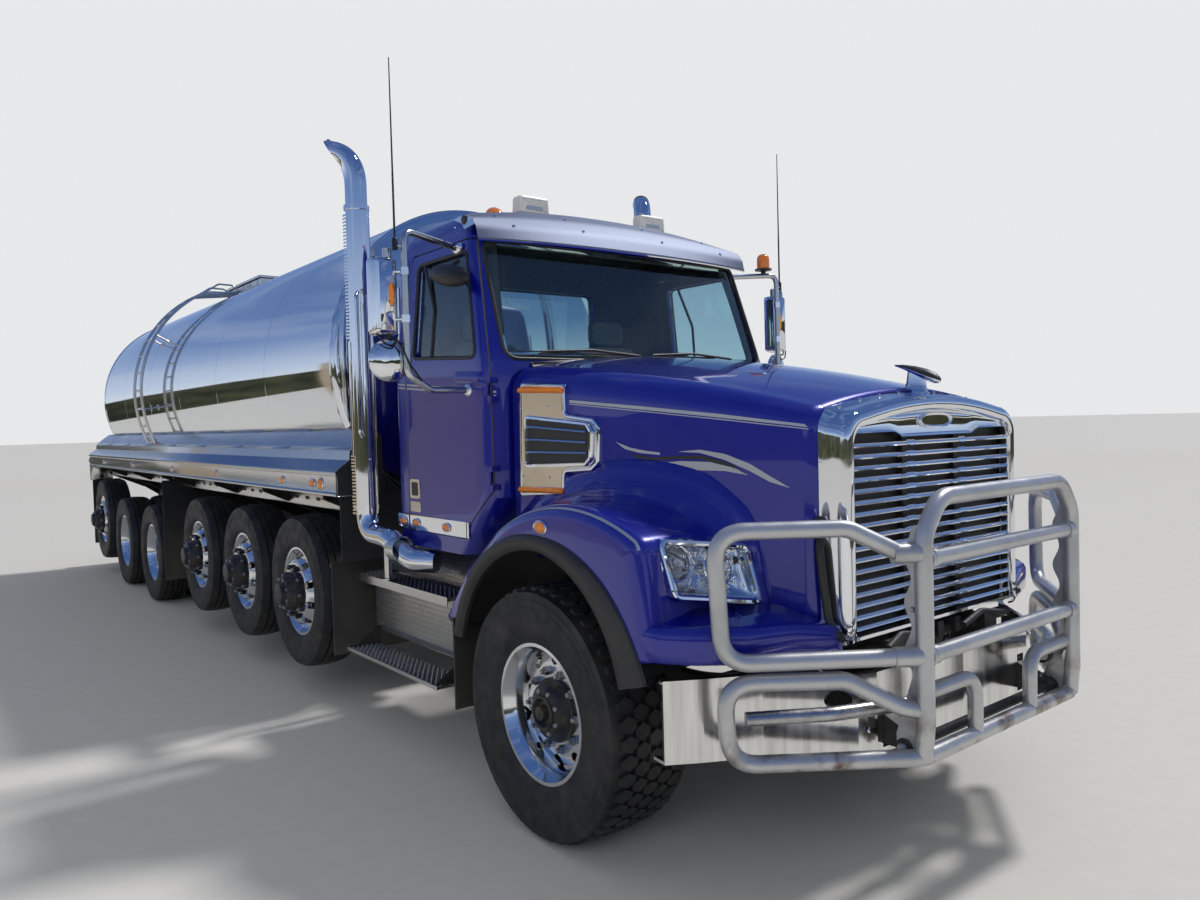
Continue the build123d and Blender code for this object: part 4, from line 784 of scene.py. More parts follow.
for side in (-1, 1):
    y = LADDER_Y + side * LADDER_HALF
    line = [(bow(-27)[0], y, 1.549)] + [(bow(a)[0], y, bow(a)[1]) for a in range(-27, 62, 2)] + [
        (-BOX_HALF - 0.002, y, BOX_TOP - 0.06)]
    tube(ladder, line, 0.015, 0.02, 14, steps=2)
    block(ladder, bow(-27)[0] - 0.035, bow(-27)[0] + 0.035, y - 0.022, y + 0.022, 1.592, 1.6)
    for a in (-8, 30):
        inner, outer = bow(a, TANK_R - 0.005), bow(a)
        tube(ladder, [(inner[0], y, inner[1]), (outer[0], y, outer[1])], 0.01, sides=12)
        pad = Vector((cos(radians(a)) * -1, 0, sin(radians(a))))
        oval(ladder, (inner[0], y, inner[1]), 0.04, 0.03, [(0, 0.004), (0, 0.009), (0.003, 0.01)], 0, 24,
            3.0, pad, (0, 1, 0))
    tube(ladder, [(bow(61)[0] + 0.02, y, bow(61)[1] + 0.01), (-0.42, y, BOX_TOP + 0.016),
        (-0.26, y, BOX_TOP + 0.012), (-0.205, y, BOX_TOP - 0.055)], 0.01, 0.06, 12)
for i in range(11):
    x, z = bow(-25 + 8.8 * i)
    tube(ladder, [(x, LADDER_Y - LADDER_HALF, z), (x, LADDER_Y + LADDER_HALF, z)], 0.012, sides=12)
for i in range(13):
    x = -0.555 + 0.0302 * i
    block(ladder, x, x + 0.005, LADDER_Y - LADDER_HALF, LADDER_Y + LADDER_HALF, BOX_TOP - 0.084,
        BOX_TOP - 0.062)
for i in range(6):
    y = LADDER_Y - LADDER_HALF + 0.066 * i
    block(ladder, -0.56, -BOX_HALF - 0.002, y - 0.003, y + 0.003, BOX_TOP - 0.08, BOX_TOP - 0.066)
piece_of("bowed_ladder", ladder, [brushed], "root", ["ladder"], crease=35)


# Steps: tread plate of bright aluminium bent over steel boxes. A curved sheet leans over the top step,
# and both boards are pressed with teeth and have bright edges.
tread = Finish("tread_plate", (0.66, 0.65, 0.63), 0.3, 1.0)
MARK_PITCH = 0.03
cell_a = tread.along("y") * (1 / MARK_PITCH)
cell_b = (tread.along("z") - abs(tread.along("x"))) * (1 / MARK_PITCH)
lean = 1 - ((cell_a.rounded_down() + cell_b.rounded_down()) % 2) * 2
off_a, off_b = cell_a % 1 - 0.5, cell_b % 1 - 0.5
long_way, short_way = (off_a + off_b * lean) * 0.7071, (off_a - off_b * lean) * 0.7071
inside = long_way * long_way * (1 / 0.235) + short_way * short_way * (1 / 0.018)
lozenge = 1 - inside.held(0.55, 1.0)
wear = tread.noise(5.0, 6.0)
tread.set(base_color=tread.tones(lozenge, tread.tones(wear, (0.34, 0.33, 0.31), (0.55, 0.54, 0.51)),
    (0.88, 0.87, 0.83)), roughness=0.42 - lozenge * 0.22)
tread.raised(lozenge, 0.0035, 1.0)
serrated = Finish("serrated_board", (0.14, 0.14, 0.15), 0.45, 1.0)
serrated.set(base_color=serrated.tones(serrated.noise(40.0, 5.0), (0.07, 0.07, 0.08), (0.26, 0.26, 0.27)))
STEP_FRONT, STEP_BACK = 1.0, 2.16
steps = Shape()
box_face = eased([(0.47, 0.862), (0.965, 0.864), (1.0, 0.845), (1.0, 0.56), (0.99, 0.52), (0.955, 0.502),
    (0.47, 0.5)], 0.03, 5)
steps.skin([[(x, y, z) for x, z in box_face] for y in (1.012, 1.2, 1.4, 1.6, 1.8, 2.0, 2.128)])
for y in (1.01, 2.12):
    plate(steps, [(p.x - 0.004, p.y) for p in box_face], "y", y, 0.01, 2)
lean_over = [(0.905 - 0.175 * (1 - cos(radians(a))), 0.89 + 0.185 * sin(radians(a)))
    for a in range(0, 91, 6)]
steps.skin([[(x, y, z) for x, z in lean_over] for y in (1.075, 1.3, 1.52, 1.74, 1.96, 2.105)])
for y in (1.07, 2.1):
    plate(steps, lean_over + [(0.6, 1.075), (0.6, 0.89)], "y", y, 0.008, 2)
for y in (1.06, 2.08):
    for z in (0.8, 0.56):
        oval(steps, (0.999, y, z), 0.01, 0.01, [(0, 0), (0, 0.004), (0.004, 0.006)], 1, 16, 2, *SIDEWAYS)
for x0, x1, y0, y1, low, high in ((0.925, 1.11, STEP_FRONT, STEP_BACK, 0.868, 0.886),
        (1.0, 1.2, 0.972, 2.128, 0.428, 0.442)):
    block(steps, x1 - 0.004, x1, y0, y1, low - (0.026 if x1 < 1.15 else 0.003), high + 0.004, 1)
    block(steps, x0, x1 - 0.004, y0, y0 + 0.004, low, high + 0.002, 1)
    block(steps, x0, x1 - 0.004, y1 - 0.004, y1, low, high + 0.002, 1)
    block(steps, x0, x1 - 0.004, y0 + 0.004, y1 - 0.004, low, high - 0.006, 3)
    count = int((y1 - y0) / 0.0255)
    for i in range(count):
        y = y0 + 0.008 + (y1 - y0 - 0.012) * i / count
        for j in range(6):
            x = x0 + 0.006 + (x1 - x0 - 0.02) * (j + 0.5 * (i % 2)) / 6
            steps.add([(x, y, high - 0.006), (x + 0.02, y, high - 0.006),
                (x + 0.02, y + 0.012, high - 0.006), (x, y + 0.012, high - 0.006),
                (x + 0.004, y + 0.003, high + 0.004), (x + 0.016, y + 0.003, high + 0.004),
                (x + 0.016, y + 0.009, high + 0.004), (x + 0.004, y + 0.009, high + 0.004)],
                [(4, 5, 6, 7), (0, 1, 5, 4), (1, 2, 6, 5), (2, 3, 7, 6), (3, 0, 4, 7)],
                3 if x1 < 1.15 else 1)
for y in (1.02, 2.076):
    plate(steps, eased([(0.998, 0.56), (1.09, 0.5), (1.185, 0.442), (1.185, 0.428), (0.998, 0.428)], 0.02,
        3), "y", y, 0.01, 2)
block(steps, 0.4325, 0.48, 1.06, 2.08, 0.82, 0.86, 2)
steps.mirrored()
piece_of("tread_steps", steps, [tread, brushed, frame_paint, serrated], "root",
    ["step_boxes"], crease=30)


# Cab: pressed steel, welded and painted deep cobalt with fine metal flake under a thick clear coat.
# Its front is slightly bowed and its roof edges are rounded; the doors are cut from the same skin.
cobalt = Finish("cobalt_paint", (0.003, 0.008, 0.2), 0.34, 0.25, coat_weight=1.0, coat_roughness=0.02)
flake = cobalt.add("ShaderNodeTexVoronoi", {}, {"Vector": cobalt.place, "Scale": 900.0}, 1)
flake_light = cobalt.add("ShaderNodeSeparateXYZ", {}, {0: flake})
cobalt.set(base_color=cobalt.tones(flake_light, (0.0013, 0.003, 0.17), (0.003, 0.008, 0.34)),
    roughness=cobalt.noise(4.0, 5.0) * 0.12 + 0.26)
cobalt.raised(cobalt.noise(45.0, 2.0), 0.0006, 0.12)
lining = Finish("cab_lining", (0.1, 0.1, 0.105), 0.85)
lining.set(base_color=lining.tones(lining.noise(60.0, 4.0), (0.07, 0.07, 0.075), (0.16, 0.16, 0.165)))
lining.raised(lining.noise(260.0, 2.0), 0.001, 0.5)
black_trim = Finish("black_trim", (0.018, 0.018, 0.019), 0.45)
black_trim.set(base_color=black_trim.tones(black_trim.noise(6.0, 5.0), (0.012, 0.012, 0.013),
    (0.035, 0.034, 0.033)))
black_trim.raised(black_trim.noise(240.0, 3.0), 0.0006, 0.4)
chrome = Finish("chrome_plate", (0.86, 0.87, 0.88), 0.04, 1.0)
chrome.set(roughness=chrome.noise(8.0, 6.0).held(0.45, 0.8) * 0.1 + 0.025,
    base_color=chrome.tones(chrome.noise(3.0, 4.0), (0.78, 0.79, 0.81), (0.9, 0.9, 0.91)))
amber = Finish("amber_lens", (0.75, 0.2, 0.01), 0.12, 0.0, coat_weight=0.6)
amber_lines = (amber.along("y") * 260 % 1 > 0.5) * 0.4 + amber.noise(30.0) * 0.6
amber.set(base_color=amber.tones(amber_lines, (0.55, 0.12, 0.006), (0.92, 0.3, 0.02)))
glass = Finish("window_glass", (0.72, 0.86, 0.82), 0.02, 0.0, transmission_weight=1.0)
glass.set(roughness=glass.noise(5.0, 5.0).held(0.5, 0.9) * 0.08 + 0.01)
CAB_HALF, CAB_BACK, CAB_BELT, ROOF_EDGE = 1.03, 1.7, 2.11, 2.76
CORNER_X, CORNER_Y, FACE_BOW = 0.15, 0.11, 0.03


def cab_size(z):
    """Half width and the front edge's place at a height."""
    half = CAB_HALF - 0.066 * max(0.0, (min(z, ROOF_EDGE) - CAB_BELT) / (ROOF_EDGE - CAB_BELT))
    front = 0.6 + 0.21 * max(0.0, (min(z, ROOF_EDGE) - 2.1) / (ROOF_EDGE - 2.1))
    front += max(0.0, 1.42 - z) * 0.84
    fall = 1 - sqrt(1 - min(1.0, max(0.0, (z - ROOF_EDGE) / 0.176)) ** 2)
    return half - 0.15 * fall, front + 0.26 * fall


def cab_front(x, z):
    """How far back the cab's front skin lies."""
    half, front = cab_size(z)
    x = abs(x)
    flat = half - CORNER_X
    across = max(0.0, min(1.0, (x - flat) / CORNER_X))
    return front + FACE_BOW * (min(x, flat) / half) ** 2 + CORNER_Y * (1 - sqrt(1 - across * across))


def cab_body(inset, mark=0):
    """The cab as one closed body, or the room inside it when inset is the wall's thickness."""
    shape, rows = Shape(), []
    heights = [1.11 + 0.31 * i / 3 for i in range(3)] + [1.42 + 0.68 * i / 5
        for i in range(5)] + [2.1 + 0.66 * i / 10 for i in range(10)] + [ROOF_EDGE +
        0.175 * sin(radians(90 * i / 9)) for i in range(10)]
    for z in heights:
        half, front = cab_size(z)
        lean = asin(min(1.0, max(0, (z - ROOF_EDGE) / 0.18)))
        half, back = half - inset, CAB_BACK - inset - (1 - cos(lean)) * 0.1
        row = []
        for i in range(9):
            x = (half - CORNER_X) * i / 9
            row.append((x, cab_front(x, z) + inset))
        for i in range(9):
            a = radians(90 * i / 8)
            row.append((half - CORNER_X + CORNER_X * sin(a), cab_front(half - CORNER_X, z) + inset +
                CORNER_Y * (1 - cos(a))))
        side_y = row[-1][1]
        row += [(half, side_y + (back - 0.05 - side_y) * i / 12) for i in range(1, 12)]
        row += [(half - 0.05 + 0.05 * cos(radians(a)), back - 0.05 + 0.05 * sin(radians(a)))
            for a in range(0, 91, 18)]
        row += [((half - 0.05) * (1 - i / 4), back) for i in range(1, 5)]
        level = z if not inset else min(max(z, 1.155), 2.935 - inset)
        rows.append([(x, y, level) for x, y in row] + [(-x, y, level) for x, y in reversed(row[1:-1])])
    shape.skin(rows, mark, ring=True)
    shape.face(rows[-1], mark)
    shape.face(rows[0], mark)
    return shape


def closed_line(points, radius, steps=6):
    """A closed outline with its corners rounded off."""
    start = (Vector(points[0]) + Vector(points[-1])) / 2
    return eased([start, *points, start], radius, steps)[:-1]


def shrunk(points, gap):
    """A closed outline moved inwards by a gap."""
    points = [Vector(p) for p in points]
    turn = sum(a.x * b.y - b.x * a.y for a, b in zip(points, points[1:] + points[:1]))
    done = []
    for i, p in enumerate(points):
        back, on = (p - points[i - 1]).normalized(), (points[(i + 1) % len(points)] - p).normalized()
        square = Vector((-back.y - on.y, back.x + on.x)).normalized()
        done.append(p + square * copysign(gap, turn) / max(0.5, sqrt((1 + back.dot(on)) / 2)))
    return done


DOOR_EDGE = closed_line([(0.668, 1.45), (0.668, 2.095), (0.872, 2.755), (1.55, 2.755), (1.55, 1.195),
    (0.9, 1.195), (0.85, 1.29), (0.71, 1.405)], 0.04)
SIDE_WINDOW = closed_line([(0.772, 2.125), (1.462, 2.168), (1.462, 2.69), (0.925, 2.69)], 0.045)
SCREEN = closed_line([(-0.94, 2.112), (0.94, 2.112), (0.925, 2.738), (-0.925, 2.738)], 0.075)
REAR_WINDOW = closed_line([(-0.43, 2.25), (0.43, 2.25), (0.43, 2.64), (-0.43, 2.64)], 0.05)


def prism(outline, across, start, deep):
    shape = Shape()
    plate(shape, [tuple(p) for p in outline], across, start, deep)
    return shape


def door_parts(sign):
    """The tools that part one side's door from the skin."""
    start = 0.7 if sign > 0 else -1.2
    return prism(DOOR_EDGE, "x", start, 0.5), prism(shrunk(DOOR_EDGE, 0.007), "x", start,
        0.5), prism(SIDE_WINDOW, "x", start, 0.5)


def lined(mesh):
    """The inner faces of a wall get the second finish."""
    for face in mesh.polygons:
        x, y, z = face.center
        half, front = cab_size(z)
        deep = min(half - abs(x), y - cab_front(x, z), CAB_BACK - y, 2.935 - z, z - 1.11)
        face.material_index = 1 if deep > 0.03 else 0
    return mesh


tools = [("DIFFERENCE", cab_body(0.045)), ("DIFFERENCE", prism(SCREEN, "y", 0.3, 0.7)),
    ("DIFFERENCE", prism(REAR_WINDOW, "y", 1.5, 0.4))]
for sign in (1, -1):
    tools.append(("DIFFERENCE", door_parts(sign)[0]))
cab_mesh = lined(carved("cab_skin", cab_body(0), tools))
piece_of("cab_skin", cab_mesh, [cobalt, lining], "root", ["cab"])
for side, sign in SIDES:
    edge, inner_edge, window = door_parts(sign)
    door_mesh = lined(carved(f"door_skin_{side}", cab_body(0),
        [("DIFFERENCE", cab_body(0.045)), ("INTERSECT", inner_edge), ("DIFFERENCE", window)]))
    piece_of(f"door_skin_{side}", door_mesh, [cobalt, lining], f"door_{side}",
        [f"door_{side}"])


def side_x(y, z, out=0.0):
    """Where the cab's side skin lies at (y, z)."""
    half, front = cab_size(z)
    back = cab_front(half - CORNER_X, z)
    across = max(0.0, min(1.0, (back + CORNER_Y - y) / CORNER_Y))
    return half - CORNER_X * (1 - sqrt(1 - across * across)) + out


trim, door_trim = Shape(), Shape()
for outline, shape, place in ((SCREEN, trim, lambda a, b: (a, cab_front(a, b) - 0.001, b)),
        (REAR_WINDOW, trim, lambda a, b: (a, 1.702, b))):
    line = [Vector(place(p.x, p.y)) for p in outline]
    tube(trim, line + [line[0]], 0.0105, 0.001, 10, steps=1)
window_line = [Vector((side_x(p.x, p.y, -0.001), p.x, p.y)) for p in SIDE_WINDOW]
tube(door_trim, window_line + [window_line[0]], 0.01, 0.001, 10, steps=1)
tube(door_trim, [(side_x(1.376, 2.517, -0.018), 1.385, 2.68), (side_x(1.27, 2.4, -0.018), 1.268, 2.42),
    (side_x(1.28, 2.16, -0.018), 1.276, 2.16)], 0.009, 0.06, 10)
# cowl under the windscreen, with the wipers lying on it
cowl_columns = [-0.8 + 1.6 * i / 20 for i in range(21)]
trim.skin([[(x, 0.59, 2.1 - 0.035 * (x / 0.8) ** 2) for x in cowl_columns],
    [(x, cab_front(x, 2.11) + 0.004, 2.118 - 0.012 * (x / 0.8) ** 4) for x in cowl_columns]])
for x0, x1 in ((-0.1, -0.74), (0.62, 0.02)):
    tube(trim, [(x0, 0.585, 2.118), (x0, 0.575, 2.14), ((x0 + x1) / 2, 0.592, 2.165), (x1, 0.606, 2.15)],
        0.007, 0.02, 10)
    tube(trim, [(x0 - 0.12, 0.596, 2.146), (x1 - 0.02, 0.604, 2.14)], 0.006, sides=8)
    oval(trim, (x0, 0.583, 2.12), 0.016, 0.016, [(0, 0), (0, 0.012), (0.005, 0.018)], 0, 18, 2,
        (0, -0.6, 0.8))
tube(trim, [(0.1, 0.8, 2.66), (0.1, 0.86, 2.62)], 0.008, sides=10)
piece_of("window_seals", trim, [black_trim], "root", crease=40)
for side, sign in SIDES:
    own = door_trim.on_side(sign)
    piece_of(f"door_seal_{side}", own, [black_trim], f"door_{side}", crease=40)

pane = Shape()
columns = [-0.955 + 1.91 * i / 40 for i in range(41)]
pane.skin([[(x, cab_front(x, z) + 0.013, z) for x in columns]
    for z in [2.095 + 0.66 * i / 12 for i in range(13)]])
piece_of("windscreen", pane, [glass], "root", ["cab_glass"], wall=0.005, crease=60)
rear = Shape()
plate(rear, [(-0.44, 2.24), (0.44, 2.24), (0.44, 2.65), (-0.44, 2.65)], "y", 1.674, 0.005)
piece_of("rear_pane", rear, [glass], "root")
for side, sign in SIDES:
    pane = Shape()
    edge = shrunk(SIDE_WINDOW, -0.012)
    count = len(edge)
    outer_ring = [(sign * side_x(p.x, p.y, -0.018), p.x, p.y) for p in edge]
    inner_ring = [(sign * side_x(p.x, p.y, -0.023), p.x, p.y) for p in edge]
    pane.add(outer_ring + inner_ring, [tuple(range(count)), tuple(range(count, 2 * count))] +
        [(k, (k + 1) % count, count + (k + 1) % count, count + k) for k in range(count)])
    piece_of(f"door_pane_{side}", pane, [glass], f"door_{side}", [f"door_glass_{side}"], crease=40)

# door furniture: lock plate and pull, a bare plate under it, polished sill strips with amber lamps
stripe_silver = Finish("stripe_silver", (0.52, 0.53, 0.55), 0.38, 0.8)
stripe_silver.set(base_color=stripe_silver.tones(stripe_silver.noise(300.0), (0.44, 0.45, 0.47),
    (0.6, 0.61, 0.63)))


def band(shape, points, tall, out, mark=0):
    """A thin strip that follows the cab's side."""
    shape.skin([[(side_x(y, z, out), y, z + tall / 2), (side_x(y, z, out), y, z - tall / 2)]
        for y, z in points], mark)


SILL_Z = 1.243


def sill_strip(places):
    """Rows of a polished strip along the sill, bent in at both edges."""
    return [[(side_x(y, SILL_Z, out), y, z) for out, z in ((0.002, 1.288), (0.007, 1.284), (0.007, 1.203),
        (0.002, 1.199))] for y in places]


def sill_lamp(shape, y, amber_mark):
    """An oval amber lamp in a polished rim."""
    oval(shape, (1.0365, y, SILL_Z), 0.046, 0.026, [(0, 0), (0.001, 0.006), (0.006, 0.008), (0.009, 0.005)],
        0, 28, 2.0, *SIDEWAYS)
    oval(shape, (1.0365, y, SILL_Z), 0.036, 0.018, [(0, 0), (0.001, 0.008), (0.006, 0.012), (0.014, 0.014)],
        amber_mark, 28, 2.0, *SIDEWAYS)


def framed(shape, outline, profile, place, mark=0, cap=None):
    """An outline drawn in step by step: profile is (gap, height) and place puts a point at a height."""
    rows = [[place(p, height) for p in shrunk(outline, gap)] for gap, height in profile]
    shape.skin(rows, mark, ring=True)
    if cap is not None:
        shape.face(rows[-1], cap)


for side, sign in SIDES:
    fittings = Shape()
    for z_off in (0.008, -0.012):
        band(fittings, [(1.542, 2.0165 + z_off), (1.1, 1.98 + z_off), (0.68, 1.9425 + z_off)], 0.01, 0.0016,
            2)
    plate(fittings, closed_line([(1.418, 1.38), (1.535, 1.38), (1.535, 1.488), (1.418, 1.488)], 0.014, 4),
        "x", 1.026, 0.008)
    plate(fittings, closed_line([(1.438, 1.396), (1.516, 1.396), (1.516, 1.472), (1.438, 1.472)], 0.012, 4),
        "x", 1.03, 0.0048, 1)
    plate(fittings, closed_line([(1.5, 1.404), (1.51, 1.404), (1.51, 1.464), (1.5, 1.464)], 0.003, 3), "x",
        1.032, 0.01)
    plate(fittings, closed_line([(1.412, 1.304), (1.535, 1.304), (1.535, 1.361), (1.412, 1.361)], 0.008, 4),
        "x", 1.028, 0.006, 3)
    fittings.skin(sill_strip((0.905, 1.2, 1.54)))
    for y in (1.111, 1.46):
        sill_lamp(fittings, y, 4)
    for z in (1.52, 1.96):
        block(fittings, 1.029, 1.034, 0.664, 0.69, z - 0.03, z + 0.03, 5)
        tube(fittings, [(1.038, 0.654, z - 0.032), (1.038, 0.654, z + 0.032)], 0.009, sides=16, mark=5)
    bump = [(0.99, 2.07), (0.99, 1.99), (0.7, 1.968), (0.7, 2.052)]
    framed(fittings, closed_line(bump, 0.03, 4), ((0.0, 0.0), (0.01, 0.004), (0.02, 0.012), (0.032, 0.015),
        (0.045, 0.014)), lambda p, out: (side_x(p.x, p.y, out), p.x, p.y), 5, 5)
    own = fittings.on_side(sign)
    piece_of(f"door_fittings_{side}", own, [chrome, black_trim, stripe_silver, brushed, amber, cobalt],
        f"door_{side}", crease=35)
sides = Shape()
for z_off in (0.008, -0.012):
    band(sides, [(1.562, 2.0175 + z_off), (1.646, 2.0245 + z_off)], 0.01, 0.0016, 1)
    band(sides, [(0.662, 1.9405 + z_off), (0.655, 1.94 + z_off), (0.62, 1.937 + z_off)], 0.01, 0.0016, 1)
for y0, y1 in ((1.556, 1.69), (0.88, 0.897)):
    sides.skin(sill_strip((y0, y1)))
sill_lamp(sides, 1.618, 2)
for z in (1.52, 1.96):
    for low, high in ((z - 0.06, z - 0.034), (z + 0.034, z + 0.06)):
        block(sides, 0.99, 1.04, 0.63, 0.656, low, high, 4)
    tube(sides, [(1.038, 0.654, z - 0.06), (1.038, 0.654, z + 0.06)], 0.004, sides=12, mark=4)
block(sides, 0.3, 0.42, 1.5, 1.64, 1.076, 1.112, 3)
for x in (0.5, 0.985):
    tube(sides, [(x, 1.702, 1.2), (x, 1.702, 2.6)], 0.012, sides=12)
sides.mirrored()
piece_of("cab_fittings", sides, [chrome, stripe_silver, amber, black_trim, cobalt], "root",
    crease=35)


# Bonnet and fenders: one moulded and painted shell. A flat-sided bonnet narrows to the nose, and round
# fenders grow out of its foot with a hollow between them. Thin silver lines are laid on the paint.
BONNET = ((-1.1, 0.622, 1.8, 1.868, 0.08), (-0.56, 0.775, 1.925, 1.985, 0.11),
    (0.585, 0.935, 2.075, 2.14, 0.14))


def bonnet_size(y):
    """Half width, shoulder, crown and corner radius of the bonnet, on a smooth curve through its sections."""
    (y0, *first), (y1, *second), (y2, *third) = BONNET
    weights = ((y - y1) * (y - y2) / ((y0 - y1) * (y0 - y2)), (y - y0) * (y - y2) / ((y1 - y0) * (y1 - y2)),
        (y - y0) * (y - y1) / ((y2 - y0) * (y2 - y1)))
    return [sum(w * v for w, v in zip(weights, sizes)) for sizes in zip(first, second, third)]


def bonnet_outline(y, low):
    """Points (x, z) from the right foot over the crown to the left foot."""
    half, shoulder, crown, corner = bonnet_size(y)
    side = [(half, low + (shoulder - corner - low) * i / 8) for i in range(8)]
    side += [(half - corner + corner * cos(a), shoulder - corner + corner * sin(a))
        for a in (radians(90 * i / 9) for i in range(10))]
    flat = half - corner
    side += [(flat * (1 - i / 12), crown - (crown - shoulder) * (1 - i / 12) ** 2) for i in range(1, 13)]
    return [(-x, z) for x, z in side[:-1]] + [(x, z) for x, z in reversed(side)]


def bonnet_side(y, z, out=0.0):
    """How far from the middle the bonnet's side skin lies."""
    half, shoulder, crown, corner = bonnet_size(y)
    over = max(0.0, min(1.0, (z - shoulder + corner) / corner))
    return half - corner * (1 - sqrt(1 - over * over)) + out


NOSE_EDGE, COWL_EDGE = -1.035, 0.585
shell = Shape()
stations = [NOSE_EDGE + (COWL_EDGE - NOSE_EDGE) * i / 28 for i in range(29)]
shell.skin([[(x, y, z) for x, z in bonnet_outline(y, 0.96 if y < -0.69 else 1.14)] for y in stations])


def arc(start, through, end, steps):
    """Points on the circle through three (y, z) points."""
    (ax, ay), (bx, by), (cx, cy) = start, through, end
    d = 2 * (ax * (by - cy) + bx * (cy - ay) + cx * (ay - by))
    ux = ((ax * ax + ay * ay) * (by - cy) + (bx * bx + by * by) * (cy - ay) + (cx * cx + cy * cy) *
        (ay - by)) / d
    uy = ((ax * ax + ay * ay) * (cx - bx) + (bx * bx + by * by) * (ax - cx) + (cx * cx + cy * cy) *
        (bx - ax)) / d
    r = hypot(ax - ux, ay - uy)
    a0, a1 = atan2(ay - uy, ax - ux), atan2(cy - uy, cx - ux)
    return [(ux + r * cos(a0 + (a1 - a0) * i / steps), uy + r * sin(a0 + (a1 - a0) * i / steps))
        for i in range(steps + 1)]


def resampled(points, count):
    """The same line with its points spread evenly."""
    lengths = [0.0]
    for a, b in zip(points, points[1:]):
        lengths.append(lengths[-1] + (Vector(b) - Vector(a)).length)
    done = []
    for i in range(count):
        want = lengths[-1] * i / (count - 1)
        k = next(j for j in range(1, len(points)) if lengths[j] >= want - 1e-9)
        t = (want - lengths[k - 1]) / max(lengths[k] - lengths[k - 1], 1e-9)
        done.append(Vector(points[k - 1]).lerp(Vector(points[k]), t))
    return done


def outward(points):
    """Direction square to an open (y, z) line at each of its points, away from the wheel."""
    done = []
    for i, point in enumerate(points):
        run = points[min(i + 1, len(points) - 1)] - points[max(i - 1, 0)]
        done.append(Vector((run.y, -run.x)).normalized())
    return done


crest = eased([(0.784, 0.872), (0.594, 1.093), (0.313, 1.308)] + arc((0.313, 1.308), (-0.19, 1.452),
    (-0.68, 1.345), 14)[1:] + [(-0.748, 0.913)], 0.1, 10)
crest = resampled(crest, 120)
crest_out = outward(crest)
FENDER_X, ROLL_R, ARCH_R, ARCH_Z, LOBE_X = 1.238, 0.05, 0.66, 0.62, 1.066


def fender_foot(y):
    """Where the fender's skin starts, beside the bonnet or behind it."""
    return LOBE_X if y > COWL_EDGE else bonnet_size(y)[0] + 0.002


def fender_point(i, x, out=0.0):
    """A point on the fender's skin over one place of its crest line."""
    y, z = crest[i]
    away = crest_out[i]
    front = max(0.0, min(1.0, (i / len(crest) - 0.7) / 0.12))
    front = front * front * (3 - 2 * front)
    hollow = 0.0 if y > COWL_EDGE else 0.17 - 0.06 * front
    foot, lift = fender_foot(y), out
    if hollow and x - foot < hollow:
        lift += hollow - sqrt(max(hollow ** 2 - (hollow - max(x - foot, 0.0)) ** 2, 0.0))
    if FENDER_X - x < ROLL_R:
        lift -= ROLL_R - sqrt(max(ROLL_R ** 2 - (ROLL_R - FENDER_X + x) ** 2, 0.0))
    at_y, at_z = y + away.x * lift, z + away.y * lift
    if y <= COWL_EDGE:
        near = max(0.0, 1 - (x - foot) / 0.25)
        x += (bonnet_side(max(at_y, -1.03), at_z) + 0.002 - foot) * near
    return x, at_y, at_z


def arch_point(angle, radius=ARCH_R):
    return radius * cos(angle), ARCH_Z + radius * sin(angle)


fenders = Shape()
fender_rows = []
for i, (y, z) in enumerate(crest):
    foot, row = fender_foot(y), []
    for j in range(25):
        t = j / 24
        t = 0.5 * t + 0.25 * (1 - cos(pi * t))
        row.append(fender_point(i, foot + (FENDER_X - foot) * t))
    x, y, z = row[-1]
    angle = min(max(atan2(z - ARCH_Z, y), radians(22.5)), radians(157.5))
    ly, lz = arch_point(angle)
    for j in range(1, 7):
        t = j / 6
        row.append((FENDER_X + 0.004 * sin(pi * t), y + (ly - y) * t, z + (lz - z) * t))
    row.append((FENDER_X - 0.03, ly, lz))
    fender_rows.append(row)
fenders.skin(fender_rows)
# valance under the headlamp, sweeping forward to the grille's lower corner
lip_line = eased([(1.236, -0.64), (1.232, -0.76), (1.15, -0.872), (1.0, -1.005), (0.64, -1.128)], 0.16, 8)
lip_line = resampled(lip_line, 40)
lip_rows = []
for i, (x, y) in enumerate(lip_line):
    t = i / (len(lip_line) - 1)
    run = lip_line[min(i + 1, 39)] - lip_line[max(i - 1, 0)]
    back = Vector((-run.y, run.x)).normalized() * -1
    top = 1.045 - 0.03 * max(0.0, (t - 0.75) / 0.25)
    profile = [(0.03, 0.905), (0.012, 0.91), (0.002, 0.922), (-0.001, top - 0.06), (0.0, top - 0.03),
        (0.008, top - 0.012), (0.022, top - 0.003), (0.05, top), (0.12, top + 0.008), (0.22, top + 0.03)]
    lip_rows.append([(x + back.x * d, y + back.y * d, z) for d, z in profile])
fenders.skin(lip_rows)
# the place for the headlamp is left open
LAMP_POINTS = 128
LAMP_EDGE = closed_line([(1.14, 1.352), (0.735, 1.3), (0.738, 1.066), (1.13, 1.128)], 0.042, 7)
LAMP_EDGE = resampled(LAMP_EDGE + [LAMP_EDGE[0]], LAMP_POINTS + 1)[:-1]


def lamp_face(x, z, out=0.0):
    """The lamp leans back with height and sweeps back towards the truck's side."""
    return -0.806 + 0.33 * (z - 1.06) + 0.16 * (x - 0.93) - out


def in_lamp(point):
    """Whether a point of the skin lies inside the lamp's outline."""
    crossings = 0
    for a, b in zip(LAMP_EDGE, LAMP_EDGE[1:] + LAMP_EDGE[:1]):
        if (a.y > point.z) != (b.y > point.z) and point.x < a.x + (b.x - a.x) * (point.z - a.y) / (b.y -
                a.y):
            crossings += 1
    return crossings % 2 == 1 and abs(point.y - lamp_face(point.x, point.z)) < 0.16


